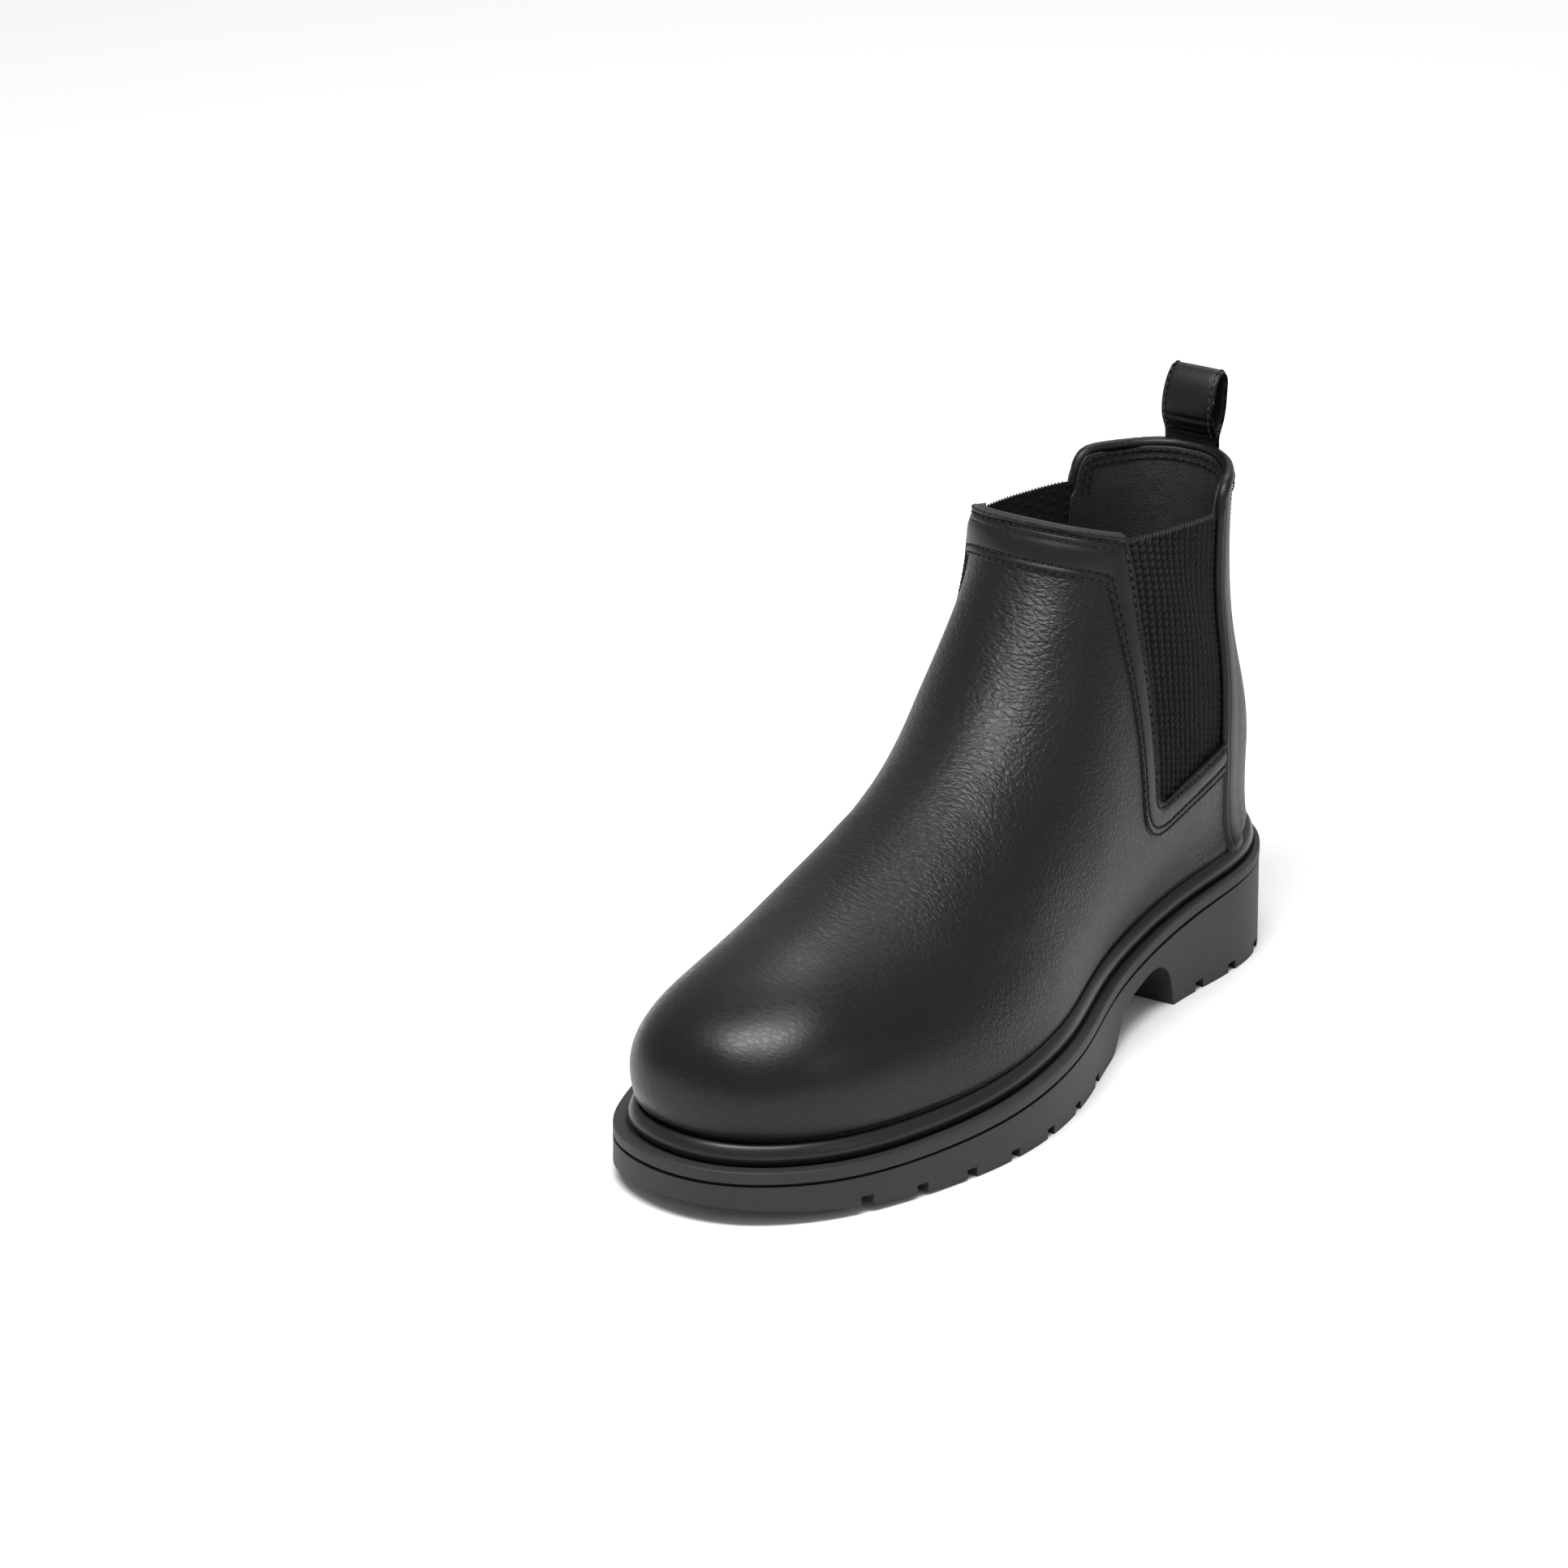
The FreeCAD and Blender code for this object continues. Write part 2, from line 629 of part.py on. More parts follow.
def build():
    pieces = {}
    window = pattern(gore_window())
    lining_depth = outer_leather + gore_thickness + 2 * layer_gap
    lining_inner = lining_depth + lining_leather
    under = outer_leather + layer_gap / 2

    pieces["outsole"] = make_outsole()
    pieces["midsole"] = make_midsole()
    pieces["welt_bead"] = ring_solid(make_bead())

    inner_inset = channel + lining_inner + lasting_room
    pieces["bottom_filler"] = slab(inner_inset, channel_growth, 0.02, filler)
    pieces["insole_board"] = slab(inner_inset, channel_growth, filler + 0.02, filler + insole_board)
    base = filler + insole_board
    pieces["footbed"] = slab(inner_inset, channel_growth, base + 0.02, base + footbed)
    sock_foot = base + footbed + 0.02
    pieces["sock_lining"] = slab(inner_inset, channel_growth, sock_foot, base + footbed + sock_leather)
    shank_box = Part.makeBox(shank_length, shank_width, 200, V(-95 * KX, -shank_width / 2, 0))
    shank = slab(inner_inset, channel_growth, 0.6, 0.6 + shank_thickness).common(shank_box)
    slot_corner = V(-95 * KX - 0.2, -shank_width / 2 - 0.2, 0)
    slot_box = Part.makeBox(shank_length + 0.4, shank_width + 0.4, 200, slot_corner)
    slot = slab(inner_inset, channel_growth, 0.58, 0.62 + shank_thickness).common(slot_box)
    pieces["bottom_filler"] = pieces["bottom_filler"].cut(slot)
    pieces["steel_shank"] = shank

    front = pattern(front_region(GORE_TOP_FRONT, seam_gap))
    vamp = cut_sheet(FRONT, 0, outer_leather, front, [window])
    ball = VAMP_SPLIT * KX
    pieces["vamp_front"] = vamp.common(Part.makeBox(400, 400, 400, V(ball + seam_gap, -200, -50)))
    pieces["vamp_instep"] = vamp.common(Part.makeBox(400, 400, 400, V(ball - 400, -200, -50)))
    band = [(GORE_FRONT - 60, 400)] + rear_seam(seam_gap)[:2] \
        + [(GORE_BACK_LOW + seam_gap - 0.2, GORE_HEEL - band_width - 1),
           (GORE_FRONT + band_width, GORE_TIP - band_width - 1.5, 14), (GORE_FRONT + band_width, 148.5, 8),
           (60, 148.5 + 0.31 * 106)]
    band_sheet = cut_sheet(FRONT, -facing_leather - layer_gap, -layer_gap, front, [window])
    pieces["front_facing"] = band_sheet.common(pattern(band))

    lining_region = front_region(GORE_TOP_FRONT - 1.2, 2.0)
    lining_window = pattern(gore_window(1.5))
    lining_outline = pattern(lining_region)
    pieces["vamp_lining"] = cut_sheet(FRONT, lining_depth, lining_inner, lining_outline, [lining_window])
    puff = pattern([(190, 0), (190, 120), (92, 120), (84, 0)])
    lift = slab(-30, 0, 1.0, 200)
    pieces["toe_puff"] = cut_sheet(FRONT, under, under + stiffener, puff).common(lift)
    counter = pattern([(-200, 0), (-110, 0), (-110, 50, 8), (-117, 66, 8), (-119, 79, 3), (-200, 79)])
    pieces["heel_counter"] = cut_sheet(REAR, under, under + stiffener, counter).common(lift)

    for name, columns in (("lateral", OUTER_SIDE), ("medial", INNER_SIDE)):
        gore = pattern(gore_window(gore_tuck, ELASTIC_TOP))
        pieces["gore_" + name] = cut_sheet(columns, under, under + gore_thickness, gore)

    cap = back_cap()
    rear_all = sheet(REAR, 0, outer_leather)
    strip_all = sheet(REAR, -facing_leather / 2, outer_leather - facing_leather / 2)
    strip = strip_all.common(cap).common(behind(0, seam_gap)).common(in_front(REAR_BAND, seam_gap))
    strip = strip.common(slab(-30, 0, bead_height + 0.15, 200))
    panel = rear_all.common(cap).common(behind(REAR_BAND, seam_gap))
    lining = sheet(REAR, lining_depth, lining_inner).common(back_cap(1.2)).common(behind(2.0, 1.0))
    for level, block in (("lower", below_flex()), ("upper", above_flex())):
        pieces["heel_panel_" + level] = panel.common(block)
        pieces["back_lining_" + level] = lining.common(block)
        both = strip.common(block)
        for solid in both.Solids:
            side = "lateral" if solid.CenterOfMass.y > 0 else "medial"
            pieces["rear_facing_" + side + "_" + level] = solid
    pieces["pull_tab"] = make_tab()
    pieces["pull_tab_ends"] = make_tab_ends()
    return pieces


def main():
    pieces = build()
    whole = Part.makeCompound(list(pieces.values())).BoundBox
    shift = V(-(whole.XMin + whole.XMax) / 2, -(whole.YMin + whole.YMax) / 2, -whole.ZMin)
    print("origin shift", round(shift.x, 3), round(shift.y, 3), round(shift.z, 3))
    os.makedirs("parts", exist_ok=True)
    for name, shape in pieces.items():
        shape = shape.copy()
        shape.translate(shift)
        solids = shape.Solids
        print(name, len(solids), round(sum(s.Volume for s in solids), 1), shape.isValid())
        if len(solids) == 1:
            shape = solids[0]
        else:
            shape = Part.makeCompound(solids)
        shape.exportStep("parts/" + name + ".step")


main()
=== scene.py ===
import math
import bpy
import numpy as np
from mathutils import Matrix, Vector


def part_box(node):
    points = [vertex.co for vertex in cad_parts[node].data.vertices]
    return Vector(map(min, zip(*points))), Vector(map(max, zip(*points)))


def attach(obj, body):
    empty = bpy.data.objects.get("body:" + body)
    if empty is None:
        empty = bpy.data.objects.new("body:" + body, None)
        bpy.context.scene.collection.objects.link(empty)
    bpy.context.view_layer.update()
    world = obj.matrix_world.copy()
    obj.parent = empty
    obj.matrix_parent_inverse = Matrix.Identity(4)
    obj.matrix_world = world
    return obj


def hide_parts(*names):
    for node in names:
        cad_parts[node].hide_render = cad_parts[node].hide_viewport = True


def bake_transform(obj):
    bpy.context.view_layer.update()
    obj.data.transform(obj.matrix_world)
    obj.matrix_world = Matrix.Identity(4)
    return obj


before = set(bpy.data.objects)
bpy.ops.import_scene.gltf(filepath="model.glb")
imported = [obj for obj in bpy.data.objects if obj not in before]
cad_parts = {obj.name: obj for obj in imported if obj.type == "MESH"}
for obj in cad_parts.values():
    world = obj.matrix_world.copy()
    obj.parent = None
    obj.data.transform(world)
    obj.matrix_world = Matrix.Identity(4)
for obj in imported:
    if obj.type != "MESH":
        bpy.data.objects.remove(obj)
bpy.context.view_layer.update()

# %% [markdown]
# A chelsea boot is a leather sock with two elastic windows, stood on a rubber sole.
# The load-bearing model is already loaded as the frame; this lesson makes the looks.
# Every surface below is a formula on a grid: the same last (the foot-shaped form that
# a shoemaker stretches leather over) gives the vamp, the bands, the elastic and lining.

MM = 0.001

# %% [markdown]
# The last is described by a plan outline of the sole, a side profile of the sole's top,
# and cross-sections fanned from the toe over the instep and up the shaft. All of them
# are in millimetres in the maker's frame, x = 0 under the arch and z = 0 on the ground.

# %% The last's lines
SOLE_PLAN = [(-150, -2), (-145.2, 21.5), (-120, 39.5), (-84, 40.4), (-30.6, 43.5), (15, 57), (58.5, 61),
             (96, 53.5), (131, 38), (152, 14), (154.5, -10), (142, -34.5), (116, -47.5), (78, -54.5),
             (27, -48), (-27, -33), (-76, -35), (-118, -37), (-142, -22)]
SOLE_TOP = [(-152, 35), (-90, 32), (-30, 24.4), (20, 22), (75, 18.6), (120, 17.4), (155, 18.5)]
# chord from the sole or back (x0, z0) to the ridge or front (x1, z1), middle y, half width,
# place of the widest point, squareness below and above it
SECTIONS = np.array([
    (147.5, 25, 147.5, 25, -3, 0.5, .50, .90, 1.00),
    (145, 17, 149, 36, -3, 17.5, .50, .85, .95),
    (136, 10, 143, 52.5, -3, 30, .45, .75, .95),
    (118, 8, 121, 65.5, -1, 40.5, .38, .70, .95),
    (85, 5, 86, 74, 2, 47, .34, .70, .97),
    (45, 5, 43, 88, 3.5, 49, .32, .70, 1.02),
    (5, 8, 3.5, 110, 3.5, 44, .32, .70, 1.03),
    (-35, 15, -20.5, 135, 2.5, 40.5, .36, .72, .95),
    (-85, 20, -32, 150, 1.5, 38, .41, .76, .85),
    (-130, 24, -37.5, 160, .5, 36.5, .46, .78, .76),
    (-149.5, 52, -40.5, 170, -.5, 35, .50, .80, .72),
    (-148.5, 80, -43, 179, -.5, 32, .50, .85, .72),
    (-143.5, 120, -45, 189, -.5, 30.5, .50, .90, .72),
    (-147, 185, -48, 205, 0, 30.5, .50, .90, .72)], float)
BACK = [(-145.5, 42), (-149.2, 56), (-148.6, 80), (-143.8, 118), (-146.3, 176)]
FEATHER = 7.0          # the upper meets the bead this far above the sole's top
SKIN_TOP = 176.0
CHANNEL, CHANNEL_GROWTH = 3.6, 3.6

# %% A cubic spline in numpy
def cubic(knots, values, closed=False):
    """Returns f(t), the smooth cubic through values at knots.
    The second slopes m solve h0*m0 + 2(h0+h1)*m1 + h1*m2 = 6(d1-d0), d being the chords' slopes;
    a closed curve lets the same equation wrap round, an open one has m = 0 at its ends."""
    t, y = np.asarray(knots, float), np.asarray(values, float)
    y = y[:, None] if y.ndim == 1 else y
    n, h = len(t), np.diff(t)[:, None]
    d = np.diff(y, axis=0) / h
    a, b = np.eye(n), np.zeros_like(y)
    rows = np.arange(1, n - 1)
    a[rows, rows - 1], a[rows, rows], a[rows, rows + 1] = h[:-1, 0], 2 * (h[:-1, 0] + h[1:, 0]), h[1:, 0]
    b[1:-1] = 6 * (d[1:] - d[:-1])
    if closed:
        a[0, 0], a[0, 1], a[0, n - 2] = 2 * (h[0, 0] + h[-1, 0]), h[0, 0], h[-1, 0]
        b[0] = 6 * (d[0] - d[-1])
        a[-1], b[-1] = 0, 0
        a[-1, 0], a[-1, -1] = 1, -1
    m = np.linalg.solve(a, b)

    def curve(x):
        x = np.asarray(x, float)
        i = np.clip(np.searchsorted(t, x, side="right") - 1, 0, n - 2)
        s, step = (x - t[i])[..., None], h[i]
        r = step - s
        return (m[i] * r ** 3 + m[i + 1] * s ** 3) / (6 * step) + (y[i] / step - m[i] * step / 6) * r \
            + (y[i + 1] / step - m[i + 1] * step / 6) * s

    return curve


def lengths(points, power=1.0):
    """Running distance along a row of points, each step raised to a power."""
    steps = np.linalg.norm(np.diff(points, axis=0), axis=1) ** power
    return np.concatenate([[0], np.cumsum(steps)])


plan_ring = np.array(SOLE_PLAN + SOLE_PLAN[:1], float)
plan_knots = lengths(plan_ring, 0.7)
plan_curve = cubic(plan_knots, plan_ring, closed=True)
top_curve = cubic(*zip(*SOLE_TOP))


def sole_top(x):
    """Height of the sole wall's upper edge at x."""
    return top_curve(np.clip(x, -152, 155))[..., 0]


def plan_points(inset, growth=0.0, count=720):
    """The sole's outline as count points, moved inwards by inset plus growth towards the toe."""
    t = np.linspace(plan_knots[0], plan_knots[-1], count, endpoint=False)
    p = plan_curve(t)
    d = np.roll(p, -1, 0) - np.roll(p, 1, 0)
    d /= np.linalg.norm(d, axis=1)[:, None]
    inward = np.stack([-d[:, 1], d[:, 0]], -1)
    turn = np.sign(np.sum(p[:, 0] * np.roll(p[:, 1], -1) - p[:, 1] * np.roll(p[:, 0], -1)))
    amount = inset + growth * np.clip((p[:, 0] + 150) / 300, 0, 1)
    return p + turn * inward * amount[:, None]


sole_high = np.array(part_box("outsole")[1]) / MM
outline = plan_points(0)
SHIFT = np.array([sole_high[0] - outline[:, 0].max(), sole_high[1] - outline[:, 1].max(), 0.0])
print("maker's frame is moved by", SHIFT.round(2), "mm")

# %% [markdown]
# The skin is the outside of the leather. Rings run from the feather line (where leather
# meets sole) to the topline: the front of each ring climbs the toe and instep, the back
# climbs the heel. A ring point's x and z are a straight line from front to back, and its
# y comes from the cross-section that passes through that point of the side view.

# %% The skin as a function of (u, v)
section_curve = cubic(np.arange(len(SECTIONS)), SECTIONS)
LAST = len(SECTIONS) - 1


def half_width(x, z, side):
    """y of the skin at a side-view point. The fan chord through the point is found by halving;
    with k the distance from the widest point, y = middle + side * W * (1 - k^(2/q))^(q/2)."""
    low, high = np.zeros_like(x), np.full_like(x, LAST)
    for _ in range(24):
        s = (low + high) / 2
        r = section_curve(s)
        ahead = (r[..., 2] - r[..., 0]) * (z - r[..., 1]) > (r[..., 3] - r[..., 1]) * (x - r[..., 0])
        low, high = np.where(ahead, s, low), np.where(ahead, high, s)
    r = section_curve(low)
    dx, dz = r[..., 2] - r[..., 0], r[..., 3] - r[..., 1]
    t = ((x - r[..., 0]) * dx + (z - r[..., 1]) * dz) / np.maximum(dx * dx + dz * dz, 1e-9)
    t = np.clip(t, 0, 1)
    wide = np.clip(r[..., 6], .1, .9)
    k = np.where(t < wide, (wide - t) / wide, (t - wide) / (1 - wide))
    q = np.where(t < wide, r[..., 7], r[..., 8])
    return r[..., 4] + side * r[..., 5] * np.maximum(1 - k ** (2 / q), 0) ** (q / 2)


feather_ring = plan_points(CHANNEL, CHANNEL_GROWTH, 1440)
toe_at, heel_at = feather_ring[:, 0].argmax(), feather_ring[:, 0].argmin()
sides = {}
for side in (1, -1):
    walk = np.arange(0, len(feather_ring))
    order = (toe_at + side * walk) % len(feather_ring)
    order = order[:int(np.nonzero(order == heel_at)[0][0]) + 1]
    sides[side] = feather_ring[order]
if sides[1][len(sides[1]) // 2, 1] < 0:
    sides = {1: sides[-1], -1: sides[1]}
ridge = section_curve(np.linspace(0, LAST, 1600))[:, 2:4]
ridge = ridge[(ridge[:, 1] <= SKIN_TOP) | (ridge[:, 0] > 0)]
ridge_length = lengths(ridge)
back_curve = cubic([z for x, z in BACK], [x for x, z in BACK])


def skin(u, v):
    """Point of the skin. u runs -1 (heel) over the inner side, 0 (toe) and the outer side to 1 (heel);
    v runs 0 (feather line) to 1 (top), and below 0 straight down behind the bead."""
    u, v = np.broadcast_arrays(np.asarray(u, float), np.asarray(v, float))
    edge = np.zeros(u.shape + (2,))
    for side, line in sides.items():
        along = lengths(line)
        at = np.abs(u) * along[-1]
        here = np.stack([np.interp(at, along, line[:, k]) for k in (0, 1)], -1)
        edge = np.where((u * side >= 0)[..., None], here, edge)
    toe_x, heel_x = sides[1][0, 0], sides[1][-1, 0]
    share = (toe_x - edge[..., 0]) / (toe_x - heel_x)
    up = np.clip(v, 0, 1)
    fx, fz = (np.interp(up * ridge_length[-1], ridge_length, ridge[:, k]) for k in (0, 1))
    bz = BACK[0][1] + (SKIN_TOP - BACK[0][1]) * up
    bx = back_curve(bz)[..., 0]
    edge_z = sole_top(edge[..., 0]) + FEATHER
    level = sole_top(toe_x) + FEATHER
    level = level + (BACK[0][1] - level) * share
    x = fx + (bx - fx) * share
    z = fz + (bz - fz) * share + (1 - up) ** 2 * (edge_z - level)
    y = half_width(x, z, np.where(u >= 0, 1.0, -1.0))
    hold = np.maximum(1 - up / 0.16, 0) ** 2
    y = y + hold * (edge[..., 1] - y)
    z = z + np.minimum(v, 0) * 134
    return np.stack([x, y, z], -1)


def smooth_rows(p, times=2):
    """Averages each grid point with its neighbours along the rows, which takes out creases at the ridge."""
    for _ in range(times):
        p[:, 1:-1] = p[:, 1:-1] * 0.5 + (p[:, :-2] + p[:, 2:]) * 0.25
    return p


def normals(p):
    """Unit normals of a grid of points, from the differences to the neighbours."""
    n = np.cross(np.gradient(p, axis=1), np.gradient(p, axis=0))
    n /= np.maximum(np.linalg.norm(n, axis=2), 1e-9)[..., None]
    middle = np.array([-60.0, 0.0, 60.0])
    return n if np.mean(np.sum(n * (p - middle), -1)) > 0 else -n


probe = skin(np.linspace(-1, 1, 9)[None, :], np.array([[0.0], [0.5], [1.0]]))
print("skin spans", probe.min((0, 1)).round(1), "to", probe.max((0, 1)).round(1))

# %% [markdown]
# The vamp follows (u, v), but bands, elastic and lining wrap round the shaft, where an
# angle and a height are easier to think in. So the same skin is also read as a polar
# table: the distance from a pole inside the shaft, for each angle and height.

# %% The shaft as a function of (angle, height)
POLE = np.array([-92.0, 0.0])
table_z = np.arange(24.0, 176.5, 0.5)
table_a = np.radians(np.arange(-180, 180.25, 0.5))


def polar_table():
    """Each column of the skin is read at even heights, then each height at even angles. A lone
    bad reading gives way to the middle one of the seven heights around it."""
    close_to_toe = np.linspace(0, .06, 80)
    uu = np.concatenate([-(1 - np.linspace(0, 1, 320) ** 1.5), np.linspace(0, 1, 320)[1:],
                         np.linspace(-1, 1, 401), -close_to_toe, close_to_toe])
    uu = np.unique(uu.round(6))
    vv = np.linspace(-0.06, 1, 300)
    p = skin(uu[None, :], vv[:, None])
    flat = p[..., :2] - POLE
    angle = np.arctan2(flat[..., 1], flat[..., 0])
    reach = np.hypot(flat[..., 0], flat[..., 1])
    angle[:, 0], angle[:, -1] = -math.pi, math.pi
    even_a = np.stack([np.interp(table_z, p[:, c, 2], angle[:, c]) for c in range(len(uu))], 1)
    even_r = np.stack([np.interp(table_z, p[:, c, 2], reach[:, c]) for c in range(len(uu))], 1)
    rows = []
    for a, r in zip(even_a, even_r):
        order = np.argsort(a)
        rows.append(np.interp(table_a, a[order], r[order]))
    rows = np.array(rows)
    around = np.pad(rows, ((3, 3), (0, 0)), mode="edge")
    rows = np.median([around[k:k + len(rows)] for k in range(7)], axis=0)
    for _ in range(4):
        wrap = np.concatenate([rows[:, -3:-1], rows, rows[:, 1:3]], 1)
        rows = (wrap[:, :-4] + wrap[:, 1:-3] * 2 + wrap[:, 2:-2] * 3 + wrap[:, 3:-1] * 2 + wrap[:, 4:]) / 9
    return rows


TABLE = polar_table()


def shaft(angle, z, depth=0.0):
    """Point of the shaft at an angle (0 front, +90 outer side, 180 back; radians) and height,
    depth millimetres inside the skin."""
    angle, z = np.broadcast_arrays(np.asarray(angle, float), np.asarray(z, float))
    a = (angle + math.pi) % (2 * math.pi) / (table_a[1] - table_a[0])
    b = np.clip((z - table_z[0]) / 0.5, 0, len(table_z) - 1.001)
    i, j = np.clip(a.astype(int), 0, len(table_a) - 2), b.astype(int)
    s, t = a - i, b - j
    below = TABLE[j, i] * (1 - s) + TABLE[j, i + 1] * s
    above = TABLE[j + 1, i] * (1 - s) + TABLE[j + 1, i + 1] * s
    r = below * (1 - t) + above * t - depth
    return np.stack([POLE[0] + r * np.cos(angle), POLE[1] + r * np.sin(angle), z], -1)


def angle_of(x, z, side):
    """Angle on the shaft of a side-view point (x, z) on the given side."""
    x, z = np.broadcast_arrays(np.asarray(x, float), np.asarray(z, float))
    low, high = np.full(x.shape, 0.02), np.full(x.shape, math.pi - 0.02)
    for _ in range(30):
        middle = (low + high) / 2
        ahead = shaft(side * middle, z)[..., 0] > x
        low, high = np.where(ahead, middle, low), np.where(ahead, high, middle)
    return side * (low + high) / 2


print("shaft at mid height:", shaft(np.radians([0, 90, 180]), 120).round(1).tolist())

# %% [markdown]
# Meshes come from grids. A sheet of leather is two grids, its outer and inner faces,
# joined by a rim, so every piece is a closed body with its faces pointing outwards.


def put(name, points, faces, material):
    """A mesh object from points in maker's millimetres and faces of point numbers."""
    mesh = bpy.data.meshes.new(name)
    mesh.from_pydata(((points + SHIFT) * MM).tolist(), [], faces)
    mesh.polygons.foreach_set("use_smooth", np.ones(len(mesh.polygons), bool))
    mesh.materials.append(material)
    mesh.update()
    thing = bpy.data.objects.new(name, mesh)
    bpy.context.scene.collection.objects.link(thing)
    return thing


def quads(rows, columns, wrap_rows=False, wrap_columns=False, start=0):
    """Point numbers of the faces of a grid, closed round a direction where asked."""
    r = np.arange(rows if wrap_rows else rows - 1)
    c = np.arange(columns if wrap_columns else columns - 1)
    r, c = np.meshgrid(r, c, indexing="ij")
    r2, c2 = (r + 1) % rows, (c + 1) % columns
    f = np.stack([r * columns + c, r * columns + c2, r2 * columns + c2, r2 * columns + c], -1)
    return f.reshape(-1, 4) + start


def sheet_mesh(name, outer, inner, material, keep=None):
    """A closed sheet from its outer and inner grids; keep masks faces away from the outer grid."""
    rows, columns = outer.shape[:2]
    top = quads(rows, columns)
    points = np.concatenate([outer.reshape(-1, 3), inner.reshape(-1, 3)])
    count = rows * columns
    middle = top[len(top) // 2]
    a, b, _, d = points[middle]
    if np.dot(np.cross(b - a, d - a), a - points[middle[0] + count]) <= 0:
        top = top[:, ::-1]
    if keep is not None:
        top = top[keep.ravel()]
    bottom = top[:, ::-1] + count
    edges = np.concatenate([top[:, [k, (k + 1) % 4]] for k in range(4)])
    code = edges[:, 0] * (2 * count) + edges[:, 1]
    back = edges[:, 1] * (2 * count) + edges[:, 0]
    rim = edges[~np.isin(code, back)]
    wall = np.stack([rim[:, 1], rim[:, 0], rim[:, 0] + count, rim[:, 1] + count], -1)
    faces = np.concatenate([top, bottom, wall])
    used = np.unique(faces)
    renumber = np.zeros(2 * count, int)
    renumber[used] = np.arange(len(used))
    return put(name, points[used], renumber[faces].tolist(), material)


def tube_mesh(name, rings, material, closed=False):
    """A closed body from a row of rings (count, corners, 3), with caps unless the row is closed."""
    rows, columns = rings.shape[:2]
    points = rings.reshape(-1, 3)
    faces = quads(rows, columns, wrap_rows=closed, wrap_columns=True)
    face = faces[(rows // 2) * columns]
    centre = rings[rows // 2].mean(0)
    a, b, c, d = points[face]
    inside_out = np.dot(np.cross(b - a, d - a), (a + c) / 2 - centre) < 0
    faces = [list(f) for f in (faces[:, ::-1] if inside_out else faces)]
    if not closed:
        first, last = list(range(columns)), list(range((rows - 1) * columns, rows * columns))
        faces += [first if inside_out else first[::-1], last[::-1] if inside_out else last]
    return put(name, points, faces, material)


def noise(p, size, seed=0):
    """Smooth random field, -1 to 1: random values on a lattice of the given size, blended cubically."""
    q = np.asarray(p, float) / size + 1000.0
    cell = np.floor(q).astype(np.int64)
    f = q - cell
    f = f * f * (3 - 2 * f)

    def value(dx, dy, dz):
        n = (cell[..., 0] + dx) * 374761393 + (cell[..., 1] + dy) * 668265263
        n = (n + (cell[..., 2] + dz) * 2147483647 + seed * 974634777) & 0xFFFFFFFF
        n = ((n ^ (n >> 13)) * 1274126177) & 0xFFFFFFFF
        return ((n ^ (n >> 16)) & 0xFFFF) / 32767.5 - 1

    total = 0
    for dx in (0, 1):
        for dy in (0, 1):
            for dz in (0, 1):
                weight = (f[..., 0] if dx else 1 - f[..., 0]) * (f[..., 1] if dy else 1 - f[..., 1])
                total = total + value(dx, dy, dz) * weight * (f[..., 2] if dz else 1 - f[..., 2])
    return total


def step(x, a, b):
    """0 below a, 1 above b, smooth between."""
    t = np.clip((x - a) / (b - a), 0, 1)
    return t * t * (3 - 2 * t)


def hump(x, centre, width):
    """A bell: exp(-((x - centre) / width)^2)."""
    return np.exp(-((x - centre) / width) ** 2)

# %% [markdown]
# Materials. Leather is a dielectric with a waxed or drummed surface: nearly black,
# IOR about 1.5, and its light comes from how rough the wax is. Pebbled grain comes from
# drumming a hide until its surface breaks into cells: about 2 mm across here, stretched
# round the instep. One helper adds a node; colours are sRGB hex turned to linear once.

# %% Material helpers
def colour(code):
    """Linear RGBA from an sRGB hex string."""
    parts = [int(code[i:i + 2], 16) / 255 for i in (0, 2, 4)]
    linear = [c / 12.92 if c <= 0.04045 else ((c + 0.055) / 1.055) ** 2.4 for c in parts]
    return (*linear, 1.0)


def add(tree, kind, links=None, **settings):
    """Adds a node: settings name its properties or, by number or name, its inputs; links feed its inputs."""
    node = tree.nodes.new(kind)
    for key, value in settings.items():
        if hasattr(node, key):
            setattr(node, key, value)
        else:
            node.inputs[key.replace("_", " ")].default_value = value
    for key, source in (links or {}).items():
        tree.links.new(source, node.inputs[key])
    return node


def new_material(name, base, roughness, ior=1.5, **surface):
    """A material with one Principled surface; returns the material, its tree and the surface node."""
    material = bpy.data.materials.new(name)
    material.use_nodes = True
    tree = material.node_tree
    shader = tree.nodes["Principled BSDF"]
    shader.inputs["Base Color"].default_value = colour(base)
    shader.inputs["Roughness"].default_value = roughness
    shader.inputs["IOR"].default_value = ior
    for key, value in surface.items():
        shader.inputs[key.replace("_", " ")].default_value = value
    return material, tree, shader


def ramp(tree, source, low, high, to_low=0.0, to_high=1.0):
    """Maps a value's range low..high to another, smoothly and clamped."""
    node = add(tree, "ShaderNodeMapRange", {0: source}, interpolation_type="SMOOTHSTEP")
    for i, value in enumerate((low, high, to_low, to_high), 1):
        node.inputs[i].default_value = value
    return node.outputs[0]


def sum_of(tree, *weighted):
    """Adds up value * weight pairs."""
    total = None
    for value, weight in weighted:
        part = add(tree, "ShaderNodeMath", {0: value}, operation="MULTIPLY")
        part.inputs[1].default_value = weight
        if total is None:
            total = part.outputs[0]
        else:
            total = add(tree, "ShaderNodeMath", {0: total, 1: part.outputs[0]}, operation="ADD").outputs[0]
    return total


def product(tree, a, b):
    return add(tree, "ShaderNodeMath", {0: a, 1: b}, operation="MULTIPLY").outputs[0]


